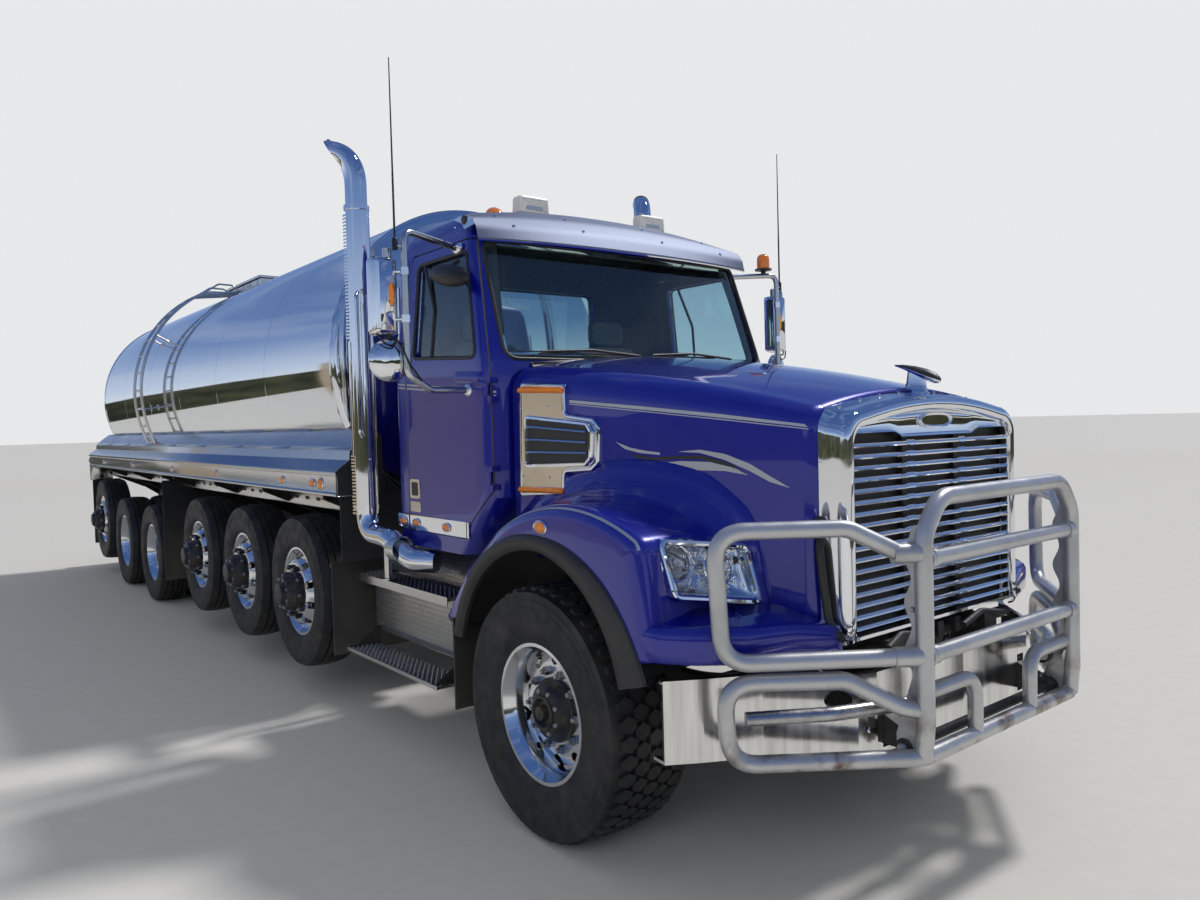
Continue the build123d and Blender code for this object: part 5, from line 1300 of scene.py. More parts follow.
kept = [face for face in fenders.faces if not all(in_lamp(fenders.points[k]) for k in face)]
fenders.faces, fenders.marks = kept, [0] * len(kept)
fenders.mirrored()
shell.add(fenders.points, fenders.faces)
piece_of("bonnet_and_fenders", shell, [cobalt], "hood", ["hood"], wall=0.005, crease=40)

lines = Shape()
crest_x = FENDER_X - 0.016
lines.skin([[fender_point(i, crest_x + dx, 0.0013) for dx in (-0.0045, 0.0045)] for i in range(16, 97)])


def painted(outline, mark=0):
    """A thin silver shape laid on the bonnet's side, between its upper and its lower edge."""
    upper, lower = [resampled(eased(edge, 0.05, 4), 36) for edge in outline]
    between = [((a + c) / 2, (b + d) / 2) for (a, b), (c, d) in zip(upper, lower)]
    lines.skin([[(bonnet_side(y, z, 0.0013), y, z) for y, z in edge] for edge in (upper, between, lower)],
        mark)


painted(([(0.16, 1.889), (-0.259, 1.848), (-0.645, 1.804), (-0.985, 1.757)],
    [(0.16, 1.877), (-0.258, 1.834), (-0.644, 1.79), (-1.0, 1.745)]))
painted(([(0.16, 1.873), (-0.258, 1.829), (-0.644, 1.785), (-1.002, 1.74)],
    [(0.16, 1.869), (-0.258, 1.825), (-0.644, 1.781), (-1.004, 1.736)]))
painted(([(-0.121, 1.696), (-0.199, 1.671), (-0.279, 1.658), (-0.357, 1.65)],
    [(-0.121, 1.695), (-0.171, 1.665), (-0.252, 1.648), (-0.357, 1.64)]))
painted(([(-0.198, 1.648), (-0.305, 1.629), (-0.456, 1.636), (-0.551, 1.64), (-0.684, 1.609),
    (-0.759, 1.562)], [(-0.198, 1.647), (-0.26, 1.614), (-0.455, 1.624), (-0.55, 1.624), (-0.684, 1.593),
    (-0.759, 1.561)]), 1)
painted(([(-0.451, 1.654), (-0.551, 1.662), (-0.663, 1.645), (-0.769, 1.606), (-0.849, 1.56),
    (-0.927, 1.516)], [(-0.451, 1.653), (-0.551, 1.649), (-0.662, 1.621), (-0.768, 1.578), (-0.849, 1.537),
    (-0.927, 1.515)]))
painted(([(-0.34, 1.602), (-0.455, 1.615), (-0.596, 1.612), (-0.705, 1.589), (-0.759, 1.563)],
    [(-0.34, 1.601), (-0.43, 1.586), (-0.549, 1.578), (-0.661, 1.577), (-0.759, 1.562)]))
lines.mirrored()
piece_of("painted_lines", lines, [stripe_silver, black_trim], "hood", crease=60)

liner = Shape()
liner.skin([[(x, *arch_point(radians(18 + 144 * i / 40), 0.672)) for x in (0.62, 0.9, 1.215)]
    for i in range(41)])
flare = Shape()
flare_rows = []
for i in range(73):
    a = radians(14 + 150 * i / 72)
    front = max(0.0, (degrees(a) - 95) / 69)
    outer, inner = 0.7 + 0.045 * front, 0.628 - 0.045 * front
    thick = outer - inner
    rings = [(1.2385, outer), (1.252, outer - 0.006), (1.262, outer - 0.25 * thick),
        (1.264, outer - 0.6 * thick), (1.256, inner + 0.012), (1.246, inner), (1.225, inner - 0.002),
        (1.222, inner + 0.006), (1.238, inner + 0.02)]
    flare_rows.append([(x, *arch_point(a, r)) for x, r in rings])
flare.skin(flare_rows, ring=True, ends=True)
flare.mirrored()
liner.mirrored()
piece_of("fender_flares", flare, [black_trim], "hood", crease=40)
piece_of("arch_liners", liner, [black_trim], "hood")
side_lamps = Shape()
oval(side_lamps, (1.24, -0.07, 1.352), 0.05, 0.032, [(0, -0.004), (0.001, 0.006), (0.006, 0.009),
    (0.01, 0.006)], 1, 32, 2.0, *SIDEWAYS)
oval(side_lamps, (1.24, -0.07, 1.352), 0.039, 0.022,
    [(0, 0), (0.001, 0.009), (0.008, 0.014), (0.018, 0.016)], 0, 32, 2.0, *SIDEWAYS)
side_lamps.mirrored()
piece_of("fender_lamps", side_lamps, [amber, chrome], "hood", crease=35)


# Headlamps: a chromed surround with rounded corners, a bowl pressed into facets, and round lamps behind
# domed glass, two large ones and one small.
bowl_chrome = Finish("bowl_chrome", (0.84, 0.85, 0.87), 0.08, 1.0)
fine_lines = bowl_chrome.along("x") * 170 % 1
bowl_chrome.set(base_color=bowl_chrome.tones(bowl_chrome.noise(14.0, 4.0), (0.66, 0.68, 0.72),
    (0.92, 0.93, 0.94)))
bowl_chrome.raised(abs(fine_lines - 0.5), 0.0012, 0.8)
lens = Finish("lamp_glass", (0.9, 0.95, 0.97), 0.03, 0.0, transmission_weight=0.92)
lens.set(roughness=lens.noise(12.0, 4.0).held(0.4, 0.9) * 0.1 + 0.01)


headlamp = Shape()
framed(headlamp, LAMP_EDGE, ((-0.002, -0.09), (-0.002, -0.004), (0.0, 0.004), (0.005, 0.01), (0.014, 0.011),
    (0.022, 0.006), (0.026, -0.004)), lambda p, out: (p.x, lamp_face(p.x, p.y, out), p.y))
rim = shrunk(LAMP_EDGE, 0.026)
centre = sum(rim, Vector((0, 0))) / len(rim)
rows = [[(q.x, lamp_face(q.x, q.y, -deep - 0.007 * t * cos(tau * k / 8)), q.y)
    for k, q in enumerate(p.lerp(centre, t) for p in rim)] for t, deep in ((0.0, 0.004), (0.03, 0.034),
    (0.1, 0.05), (0.28, 0.066), (0.55, 0.074), (0.9, 0.076))]
headlamp.skin(rows, 1, ring=True)
headlamp.face(rows[-1], 1)
for x, z, size in ((1.055, 1.24, 0.076), (0.874, 1.205, 0.076), (0.788, 1.225, 0.019)):
    spot = (x, lamp_face(x, z, -0.07), z)
    face = (0.14, -1, 0.25)
    oval(headlamp, spot, size, size, [(0, -0.02), (0, 0.04), (0.004, 0.046), (0.009, 0.044), (0.01, 0.012),
        (size * 0.5, -0.005)], 1, 40, 2, face)
    oval(headlamp, spot, size * 0.9, size * 0.9, [(0, 0.036), (0.002, 0.043), (size * 0.25, 0.051),
        (size * 0.6, 0.057), (size * 0.85, 0.059)], 2 if size > 0.05 else 3, 40, 2, face)
    if size > 0.05:
        oval(headlamp, spot, size * 0.24, size * 0.24, [(0, 0.006), (0, 0.026), (0.005, 0.032)], 1, 20, 2,
            face)
headlamp.mirrored()
piece_of("headlamp_units", headlamp, [chrome, bowl_chrome, lens, black_trim], "hood", ["headlamps"],
    crease=28)


# Side vents: a chromed plate on each side of the bonnet, with a louvred box and two amber strips.
vent_edge = closed_line([(0.504, 1.984), (0.18, 1.963), (0.179, 1.825), (0.004, 1.803), (-0.038, 1.762),
    (-0.028, 1.603), (0.016, 1.568), (0.19, 1.556), (0.2, 1.456), (0.528, 1.433)], 0.022, 4)
vent = Shape()
framed(vent, vent_edge, ((-0.001, -0.004), (0.0, 0.01), (0.003, 0.015), (0.008, 0.017), (0.016, 0.016),
    (0.02, 0.013)), lambda p, out: (bonnet_side(p.x, min(p.y, 1.9), out), p.x, p.y), 0, 0)
# The louvred box is chrome with a black floor behind its louvres: painted shade for the dark depth of the
# opening.
box_edge = closed_line([(0.45, 1.828), (0.01, 1.786), (-0.02, 1.745), (-0.012, 1.622), (0.024, 1.588),
    (0.45, 1.574)], 0.028, 5)
framed(vent, box_edge, ((0.0, 0.012), (0.001, 0.034), (0.005, 0.042), (0.013, 0.043), (0.017, 0.038),
    (0.018, 0.026)), lambda p, out: (bonnet_side(p.x, 1.7, out), p.x, p.y), 0, 1)
for i in range(3):
    vent_line = [(0.445, 1.772 - 0.062 * i), (0.02, 1.74 - 0.047 * i)]
    rows = [[(bonnet_side(y, 1.7, out), y, z + up) for out, up in ((0.02, 0.009), (0.038, 0.006),
        (0.043, 0.0), (0.038, -0.004), (0.02, -0.007))] for y, z in vent_line]
    vent.skin(rows, ends=True)
for y0, y1, z0, z1 in ((0.178, 0.505, 1.934, 1.948), (0.196, 0.52, 1.47, 1.468)):
    rows = []
    for t in (0, 0.03, 0.5, 0.97, 1):
        y, z = y0 + (y1 - y0) * t, z0 + (z1 - z0) * t
        size = 0.6 if t in (0, 1) else 1.0
        rows.append([(bonnet_side(y, min(z, 1.9), 0.014 + out * size), y, z + up * size)
            for out, up in ((0, 0.015), (0.014, 0.013), (0.022, 0.004), (0.022, -0.004), (0.014, -0.013),
            (0, -0.015))])
    vent.skin(rows, 2, ends=True)
for y, z in ((0.3, 1.862), (0.5, 1.862), (0.3, 1.53), (0.5, 1.53), (0.0, 1.775), (0.0, 1.6)):
    oval(vent, (bonnet_side(y, 1.7, 0.013 if y else 0.035), y, z), 0.006, 0.006,
        [(0, 0), (0, 0.003), (0.003, 0.005)], 0, 14, 2, *SIDEWAYS)
vent.mirrored()
piece_of("vent_plates", vent, [chrome, black_trim, amber], "hood", ["side_vents"], crease=32)


# Grille: a pressed and chromed shell over the nose with a bare oval place in its header, studs along
# its seam, and seventeen slender bars clipped to two dark uprights.
def shell_line(side_half, top_z, corner, low):
    """Outline (x, z) of the shell from the right foot over the top to the left foot."""
    crown = 0.055
    line = [(-side_half, low)] + [(-side_half, low + (top_z - crown - corner - low) * i / 10)
        for i in range(1, 11)]
    for i in range(1, 10):
        a = radians(90 * i / 10)
        line.append((-side_half + corner - corner * cos(a), top_z - crown - corner + corner * sin(a)))
    flat = side_half - corner
    for i in range(0, 13):
        x = -flat + 2 * flat * i / 12
        line.append((x, top_z - crown * (x / flat) ** 2))
    return line + [(-x, z) for x, z in reversed(line[:20])]


grille_shell = Shape()
rows = [[(x, y, z) for x, z in shell_line(side_half, top_z, corner, low)]
    for side_half, top_z, corner, low, y in ((0.641, 1.876, 0.095, 0.94, -1.022),
    (0.643, 1.878, 0.095, 0.94, -1.03), (0.642, 1.876, 0.095, 0.94, -1.04),
    (0.634, 1.866, 0.095, 0.939, -1.06), (0.628, 1.862, 0.095, 0.938, -1.09),
    (0.626, 1.86, 0.1, 0.938, -1.118), (0.618, 1.85, 0.1, 0.941, -1.138),
    (0.604, 1.836, 0.095, 0.946, -1.149), (0.588, 1.818, 0.085, 0.95, -1.15),
    (0.578, 1.806, 0.08, 0.952, -1.146), (0.572, 1.798, 0.075, 0.954, -1.132),
    (0.57, 1.796, 0.075, 0.954, -1.105))]
grille_shell.skin(rows)
header_columns = [-0.568 + 1.136 * i / 40 for i in range(41)]


def header_foot(x):
    """Lower edge of the header, which steps down round the middle."""
    step = max(0.0, min(1.0, (0.31 - abs(x)) / 0.06))
    return 1.716 - 0.022 * step * step * (3 - 2 * step)


header_rows = []
for t, out in ((0, 0), (0.3, 0.004), (0.6, 0.004), (0.86, 0.0), (0.9, -0.012), (0.97, -0.014),
        (1.0, -0.006), (1.0, 0.02)):
    header_rows.append([(x, -1.128 + out, 1.802 - 0.052 * (x / 0.568) ** 2 +
        (header_foot(x) - 1.802 + 0.052 * (x / 0.568) ** 2) * t) for x in header_columns])
grille_shell.skin(header_rows)
oval(grille_shell, (0, -1.124, 1.757), 0.118, 0.031, [(0, -0.004), (0.001, 0.01), (0.005, 0.013),
    (0.009, 0.011), (0.011, 0.005)])
for k in range(9):
    x = -0.52 + 0.13 * k
    z = 1.877 - 0.055 * (x / 0.548) ** 2
    oval(grille_shell, (x, -1.043, z - 0.0035), 0.0075, 0.0075, [(0, -0.002), (0, 0.003), (0.003, 0.006)],
        0, 14, 2, (0, -0.25, 1), (1, 0, 0))
for sign in (-1, 1):
    for z in (1.62, 1.36, 1.1):
        oval(grille_shell, (sign * 0.639, -1.047, z), 0.008, 0.008,
            [(0, -0.002), (0, 0.004), (0.003, 0.007)], 0, 14, 2, (sign, -0.15, 0), (0, 1, 0))
    grille_shell.skin([[(sign * (0.6265 - d), y, z) for d, y in ((0.0, -1.062), (-0.0016, -1.066),
        (0.0004, -1.072))] for z in (0.95, 1.2, 1.5, 1.7)])
grille_shell.skin([[(x, y, z) for x in header_columns] for y, z in ((-1.112, 0.939), (-1.132, 0.94),
    (-1.141, 0.946), (-1.14, 0.958), (-1.12, 0.963))])
bars = Shape()
GRILLE_LOW, GRILLE_HIGH, BARS = 0.962, 1.692, 17
for i in range(BARS):
    z = GRILLE_LOW + (GRILLE_HIGH - GRILLE_LOW) * (i + 0.5) / BARS
    section = [(-0.022, 0.004), (-0.03, 0.009), (-0.036, 0.004), (-0.038, -0.003), (-0.034, -0.008),
        (-0.024, -0.009), (-0.016, -0.003)]
    bars.skin([[(x, -1.098 + a, z + b) for a, b in section] for x in (-0.575, 0.575)], ring=True, ends=True)
    for x in (-0.19, 0.19):
        clip = [(-0.018, 0.009), (-0.034, 0.0125), (-0.041, 0.004), (-0.042, -0.005), (-0.034, -0.0115),
            (-0.018, -0.011)]
        bars.skin([[(x + dx, -1.098 + a, z + b) for a, b in clip] for dx in (-0.026, 0.026)], ring=True,
            ends=True)
dark = Shape()
dark.face([(-0.58, -1.085, 0.93), (0.58, -1.085, 0.93), (0.58, -1.085, 1.8), (-0.58, -1.085, 1.8)])
for x in (-0.19, 0.19):
    block(dark, x - 0.02, x + 0.02, -1.107, -1.085, 0.94, 1.72)
    for z in (1.705, 1.01):
        oval(dark, (x, -1.107, z), 0.009, 0.009, [(0, 0), (0, 0.006), (0.004, 0.009)], 0, 12, 2)
# rubber straps on the shell's side and a wedge-shaped ornament on the seam
for sign in (-1, 1):
    tube(dark, [(sign * 0.64, -1.04, 1.33), (sign * 0.668, -1.052, 1.3), (sign * 0.66, -1.06, 1.16),
        (sign * 0.652, -1.075, 1.03), (sign * 0.655, -1.11, 0.985), (sign * 0.64, -1.14, 0.965)], 0.016,
        0.05, 14)
    oval(dark, (sign * 0.643, -1.035, 1.365), 0.03, 0.05, [(0, -0.004), (0.002, 0.012), (0.012, 0.018)], 0,
        24, 2.4, (sign, -0.3, 0), (0, 1, 0))
wedge = Shape()
for mark, first, last in ((1, 0, 180), (0, 180, 360)):
    rows = [[(wide * cos(radians(a)), -0.945 - 0.21 * t, 1.99 - 0.074 * t ** 1.3 + tall * sin(radians(a)))
        for a in range(first, last + 1, 20)] for t, wide, tall in ((0, 0.003, 0.003), (0.2, 0.018, 0.01),
        (0.45, 0.03, 0.018), (0.7, 0.034, 0.024), (0.88, 0.026, 0.022), (0.97, 0.014, 0.013),
        (1.0, 0.003, 0.003))]
    wedge.skin(rows, mark, ends=True)
oval(wedge, (0, -1.04, 1.872), 0.062, 0.026, [(0, -0.01), (0.002, 0.004), (0.01, 0.012), (0.016, 0.04),
    (0.018, 0.088)], 0, 32, 2.2, (0, -0.1, 1), (0, 1, 0.1))
piece_of("grille_shell", grille_shell, [chrome], "hood", ["grille"], wall=0.003, crease=40)
piece_of("grille_bars", bars, [chrome], "hood", crease=40)
piece_of("grille_screen", dark, [black_trim], "hood", crease=35)
piece_of("nose_ornament", wedge, [chrome, black_trim], "hood", crease=40)


# Guard: thick steel tube, bent, sleeved and welded, under silver enamel that is scuffed and has begun
# to rust round its feet.
silver = Finish("silver_enamel", (0.5, 0.5, 0.5), 0.34, 0.75)
worn = silver.noise(3.5, 7.0).held(0.48, 0.72)
foot = (1 - silver.along("z").held(0.55, 0.8)) * silver.noise(9.0, 8.0).held(0.5, 0.66)
silver.set(base_color=silver.tones(foot, silver.tones(worn, (0.55, 0.55, 0.55), (0.4, 0.4, 0.41)),
    (0.1, 0.035, 0.015)), roughness=silver.noise(12.0, 5.0) * 0.22 + 0.24)
silver.raised(silver.noise(90.0, 3.0), 0.0008, 0.25)
GUARD_X, GUARD_Y, LOW_Y, LOW_Z, PIVOT_Y, PIVOT_Z = 0.56, -1.411, -1.4, 0.582, -1.33, 0.6
GUARD_R = 0.032
guard, side = Shape(), Shape()
hoop = [(GUARD_X, LOW_Y, LOW_Z), (GUARD_X, GUARD_Y, 0.7), (GUARD_X, GUARD_Y, 1.36),
    (GUARD_X - 0.1, GUARD_Y, 1.489)]
tube(guard, hoop + [(-x, y, z) for x, y, z in reversed(hoop)], GUARD_R, 0.13, 24, steps=12)
for z in (1.28, 0.94):
    tube(guard, [(-GUARD_X, GUARD_Y, z), (GUARD_X, GUARD_Y, z)], GUARD_R - 0.002)


def swept(x, z, start):
    """A point of the guard's wings, which sweep back from its hoop."""
    return x, start + (x - GUARD_X) * 0.736, z


tube(side, [swept(x, z, GUARD_Y) for x, z in ((0.56, 1.302), (0.625, 1.302), (0.775, 1.396), (1.148, 1.396),
    (1.13, 0.938), (0.56, 0.942))], GUARD_R - 0.001, 0.11, 24, steps=10)
tube(side, [swept(x, z, LOW_Y) for x, z in ((0.545, 0.742), (0.625, 0.765), (0.78, 0.866), (1.124, 0.868),
    (1.108, 0.582), (0.56, 0.582))] + [(0, LOW_Y, LOW_Z)], GUARD_R - 0.001, 0.11, 24, steps=10)
tube(side, [(0.55, LOW_Y + 0.015, 0.8), (0.21, LOW_Y, 0.806), (0.21, LOW_Y, LOW_Z)], GUARD_R - 0.004, 0.09)
for x, z in ((0.628, 1.303), (0.628, 0.942)):
    a, b = Vector(swept(x - 0.055, z, GUARD_Y)), Vector(swept(x + 0.02, z, GUARD_Y))
    tube(side, [a, b], GUARD_R + 0.004, sides=24)
for z in (1.28, 0.94):
    tube(side, [(GUARD_X - 0.012, GUARD_Y, z), (GUARD_X - 0.06, GUARD_Y, z)], GUARD_R + 0.003, sides=24)
for z in (1.28, 0.94, 1.281):
    turned(side, [(GUARD_X - 0.036, GUARD_R + 0.001), (GUARD_X - 0.03, GUARD_R + 0.006),
        (GUARD_X - 0.024, GUARD_R + 0.001)], 24, (0, GUARD_Y, z))
tube(side, [(0.47, -1.325, 0.742), (0.8, -1.2, 0.742), (1.05, -1.02, 0.735)], 0.026, 0.2, 18, 2)
turned(side, [(0.462, 0.03), (0.462, 0.036), (0.5, 0.036), (0.5, 0.03)], 20, (0, -1.325, 0.742), 1)
wave = [(GUARD_Y + 0.06 + 0.014 * cos((z - 0.95) / 0.17 * tau), z)
    for z in [0.86 + 0.52 * i / 44 for i in range(45)]]
plate(side, [(GUARD_Y + 0.002, 0.645), (GUARD_Y + 0.002, 1.4), (GUARD_Y + 0.03, 1.395)] +
    list(reversed(wave)) + [(PIVOT_Y + 0.032, 0.645), (PIVOT_Y + 0.03, 0.556), (GUARD_Y + 0.022, 0.556)],
    "x", GUARD_X - 0.007, 0.014)
plate(side, closed_line([(GUARD_Y - 0.008, 0.562), (PIVOT_Y + 0.032, 0.562), (PIVOT_Y + 0.032, 0.645),
    (GUARD_Y - 0.008, 0.755)], 0.01, 3), "x", 0.536, 0.024)
for z, y in ((0.9, GUARD_Y + 0.045), (1.1, GUARD_Y + 0.04), (1.33, GUARD_Y + 0.04)):
    hexagon(side, (GUARD_X + 0.006, y, z), 0.01, 0.01, 2)
tube(side, [(0.53, PIVOT_Y, PIVOT_Z), (0.572, PIVOT_Y, PIVOT_Z)], 0.034, mark=1)
hexagon(side, (0.572, PIVOT_Y, PIVOT_Z), 0.022, 0.018, 2)
side.mirrored()
guard.join(side)
tube(guard, [(-0.562, PIVOT_Y, PIVOT_Z), (0.562, PIVOT_Y, PIVOT_Z)], 0.02, mark=1)
piece_of("guard_tubes", guard, [silver, frame_paint, nut_steel], "guard", ["guard"],
    crease=45)


# Bumper: one plate of chromed steel, folded round the nose, with openings for the guard's arms. Years of
# washing have left upright streaks in its shine.
bumper_chrome = Finish("bumper_chrome", (0.8, 0.8, 0.79), 0.16, 1.0)
streaks = bumper_chrome.noise(1.0, 5.0, (26, 26, 1.6))
bumper_chrome.set(base_color=bumper_chrome.tones(streaks.held(0.3, 0.7), (0.58, 0.57, 0.54),
    (0.88, 0.87, 0.85)), roughness=streaks * 0.2 + 0.05)
bumper_chrome.raised(streaks, 0.0015, 0.35)
refinished("bumper", bumper_chrome)
gear = Shape()
for sign in (-1, 1):
    for y, z, size in ((-1.195, 0.64, 0.011), (-1.195, 0.79, 0.011)):
        oval(gear, (sign * 0.6, y - 0.012, z), size, size, [(0, 0), (0, 0.003), (0.004, 0.006)], 1, 16, 2)
    tube(gear, [(sign * 0.44, -1.185, 0.905), (sign * 0.3, -1.15, 0.93), (sign * 0.12, -1.17, 0.9)], 0.014,
        0.08, 12)
    block(gear, *sorted((sign * 0.3, sign * 0.4)), -1.165, -1.115, 0.85, 0.92)
tube(gear, [(-0.6, -1.1, 0.88), (0.6, -1.1, 0.88)], 0.024, sides=16)
for x in (-0.26, -0.13, 0.0, 0.13, 0.26):
    block(gear, x - 0.02, x + 0.02, -1.14, -1.08, 0.868, 0.93)
piece_of("nose_gear", gear, [frame_paint, chrome], "root", crease=35)


# Exhaust stacks: polished pipe with a turned-back tip, a slotted shield, a flexible joint by the elbow,
# and a rod to hold on to.
stack = Shape()
STACK_X, STACK_Y, STACK_R, SHIELD_R = 1.13, 1.92, 0.0635, 0.0715
run = [(0.985, 1.33, 1.03), (1.08, 1.45, 1.035), (STACK_X, 1.61, 1.148), (STACK_X, STACK_Y, 1.148),
    (STACK_X, STACK_Y, 2.0)]
tube(stack, run, STACK_R, 0.15, 32, steps=12)
tip = Shape()
tube(tip, [(0, 0, 1.999), (0, 0, 3.44), (0, 0.45, 3.44)], STACK_R, 0.22, 32, 0, 20)
CUT_LOW, CUT_RUN, TIP_TURN = Vector((0.074, 3.34)), Vector((0.105, 0.15)), 38
tip = carved("stack_tip", tip, [("DIFFERENCE",
    prism([CUT_LOW - CUT_RUN * 0.12, CUT_LOW + CUT_RUN * 1.6, (0.8, 3.62), (0.8, 3.3)], "x", -0.2, 0.4))],
    35)
away = Vector((0, CUT_RUN.y, -CUT_RUN.x)).normalized()
placed = Matrix.Translation((STACK_X, STACK_Y, 0)) @ Matrix.Rotation(radians(-TIP_TURN), 4, "Z")
tip_start = len(stack.points)
for face in tip.polygons:
    corners = [tip.vertices[k].co for k in face.vertices]
    if abs(face.normal.dot(away)) < 0.995 or face.center.z < 3.25:
        stack.face(corners)
    else:
        middle = sum(corners, Vector()) / len(corners)
        inner = [middle + (p - middle) * 0.93 for p in corners]
        stack.skin([corners, inner, [p - away * 0.025 for p in inner]], 0, ring=True)
        stack.face([p - away * 0.025 for p in inner], 1)
for k in range(tip_start, len(stack.points)):
    stack.points[k] = placed @ stack.points[k]
turned(stack, [(1.475, STACK_R + 0.002)] + [(1.48 + 0.012 * i + d, STACK_R + h) for i in range(8)
    for d, h in ((0, 0.002), (0.004, 0.008), (0.008, 0.008))] + [(1.578, STACK_R + 0.002)], 36,
    (1.118, 0, 1.1), 2, axis="y")
for z, wide in ((1.3, 0.03), (2.16, 0.02), (3.075, 0.026)):
    turned(stack, [(z, STACK_R), (z, SHIELD_R + 0.003), (z + wide, SHIELD_R + 0.003), (z + wide, STACK_R)],
        40, (STACK_X, STACK_Y, 0), axis="z")
    tube(stack, [(STACK_X - 0.03, STACK_Y + SHIELD_R, z + wide / 2),
        (STACK_X + 0.03, STACK_Y + SHIELD_R, z + wide / 2)], 0.007, sides=10)
SHIELD_LOW, SHIELD_HIGH, TOOTH_PITCH = 1.275, 3.07, 0.02
PLAIN_LOW, PLAIN_HIGH = 1.62, 2.3      # here the shield is a plain sleeve with no comb


def shield_point(angle, z, out=0.0):
    """A point on the shield; the angle is measured from its front."""
    a = radians(angle)
    return STACK_X + (SHIELD_R + out) * sin(a), STACK_Y - (SHIELD_R + out) * cos(a), z


stack.skin([[shield_point(a, z) for a in range(-80, 81, 8)] for z in (SHIELD_LOW, SHIELD_HIGH)])
for sign in (-1, 1):
    stack.skin([[shield_point(sign * a, z, 0.004) for a in (80, 94, 108, 124)]
        for z in (PLAIN_LOW, PLAIN_HIGH)])
    for i in range(int((SHIELD_HIGH - SHIELD_LOW) / TOOTH_PITCH)):
        z = SHIELD_LOW + TOOTH_PITCH * i
        if z < PLAIN_LOW or z > PLAIN_HIGH:
            stack.skin([[shield_point(sign * a, z + up, out)
                for a, out in ((80, 0), (96, 0.004), (112, 0.01))] for up in (0, TOOTH_PITCH * 0.55)])
for z in (1.6, 2.85):
    oval(stack, (STACK_X, STACK_Y - SHIELD_R, z), 0.007, 0.007, [(0, -0.002), (0, 0.003), (0.003, 0.005)],
        0, 14, 2)
tube(stack, [(1.165, 1.862, 2.585), (1.19, 1.836, 2.56), (1.192, 1.834, 1.76), (1.165, 1.862, 1.735)],
    0.011, 0.03, 14)
tube(stack, [(1.086, 1.75, 0.8905), (1.086, 1.75, 1.125)], 0.022, sides=18, mark=2)
turned(stack, [(0.891, 0.022), (0.891, 0.038), (0.899, 0.038), (0.901, 0.022)], 24, (1.086, 1.75, 0), 2,
    axis="z")
stack.mirrored()
piece_of("exhaust_pipes", stack, [chrome, hub_black, brushed], "root", ["exhaust_stacks"],
    crease=35)


# Mirrors: bent bright tube from the door, a chromed head with black-framed glass at its back, a round
# convex one below and an aerial. The left arm has a domed amber warning lamp, the right door a black
# mirror over its window that looks down.
aerial_black = Finish("aerial_black", (0.01, 0.01, 0.011), 0.4)
aerial_black.set(roughness=aerial_black.noise(80.0) * 0.3 + 0.3)
mirror_glass = Finish("mirror_glass", (0.7, 0.74, 0.76), 0.03, 1.0)
mirror_glass.set(roughness=mirror_glass.noise(9.0, 5.0).held(0.5, 0.9) * 0.08 + 0.02)
TUBE_X, TUBE_Y = 1.365, 0.846
CONVEX, HEAD_LAMP = (1.423, 0.918, 2.112), (1.425, 0.8775, 2.428)
BEACON = (1.278, 0.881, 0)
arm = Shape()
tube(arm, [(0.985, 1.0, 2.714), (TUBE_X, TUBE_Y, 2.738), (TUBE_X, TUBE_Y, 2.04), (1.24, 0.848, 1.963),
    (1.034, 0.849, 1.965)], 0.017, 0.06, 20, 2)
oval(arm, (0.978, 1.0, 2.714), 0.048, 0.03, [(0, -0.004), (0, 0.006), (0.006, 0.012), (0.014, 0.018),
    (0.02, 0.03)], 0, 28, 2.2, (1, -0.1, 0.25), (0, 1, 0))
oval(arm, (1.031, 0.849, 1.965), 0.04, 0.032, [(0, -0.001), (0, 0.006), (0.006, 0.01), (0.016, 0.016)], 0,
    28, 2.2, *SIDEWAYS)
head_edge = closed_line([(1.38, 2.232), (1.507, 2.232), (1.507, 2.612), (1.38, 2.612)], 0.03, 6)
framed(arm, head_edge, ((0.004, 0.974), (0.0, 0.968), (0.0, 0.925), (0.002, 0.905), (0.007, 0.89),
    (0.015, 0.88), (0.025, 0.876)), lambda p, y: (p.x, y, p.y), 0, 0)
framed(arm, head_edge, ((0.004, 0.974), (0.01, 0.975), (0.012, 0.966)), lambda p, y: (p.x, y, p.y), 1, 3)
block(arm, 1.39, 1.497, 0.96, 0.968, 2.352, 2.36, 1)
for z in (2.54, 2.31):
    tube(arm, [(TUBE_X, TUBE_Y, z), (1.392, 0.874, z), (1.412, 0.892, z)], 0.01, 0.02, 14)
    turned(arm, [(z - 0.018, 0.017), (z - 0.018, 0.023), (z + 0.018, 0.023), (z + 0.018, 0.017)], 24,
        (TUBE_X, TUBE_Y, 0), axis="z")
oval(arm, HEAD_LAMP, 0.02, 0.061, [(0, -0.004), (0.001, 0.004), (0.004, 0.006), (0.006, 0.003)], 0, 36, 3)
oval(arm, HEAD_LAMP, 0.0145, 0.054, [(0, 0), (0.001, 0.006), (0.004, 0.009), (0.009, 0.01)], 4, 36, 3)
oval(arm, CONVEX, 0.105, 0.105, [(0.105, -0.006), (0.003, -0.006), (0, 0), (0, 0.008), (0.002, 0.014),
    (0.015, 0.024), (0.04, 0.034), (0.07, 0.04), (0.104, 0.042)], 0, 56, 2, (0.22, -1, 0), (1, 0.22, 0))
oval(arm, CONVEX, 0.099, 0.099, [(0, 0.007), (0.098, 0.0075)], 3, 48, 2, (-0.22, 1, 0), (1, 0.22, 0))
turned(arm, [(2.61, 0.0), (2.61, 0.022), (2.655, 0.022), (2.66, 0.016), (2.66, 0.0)], 24, (1.42, 0.92, 0),
    2, axis="z")
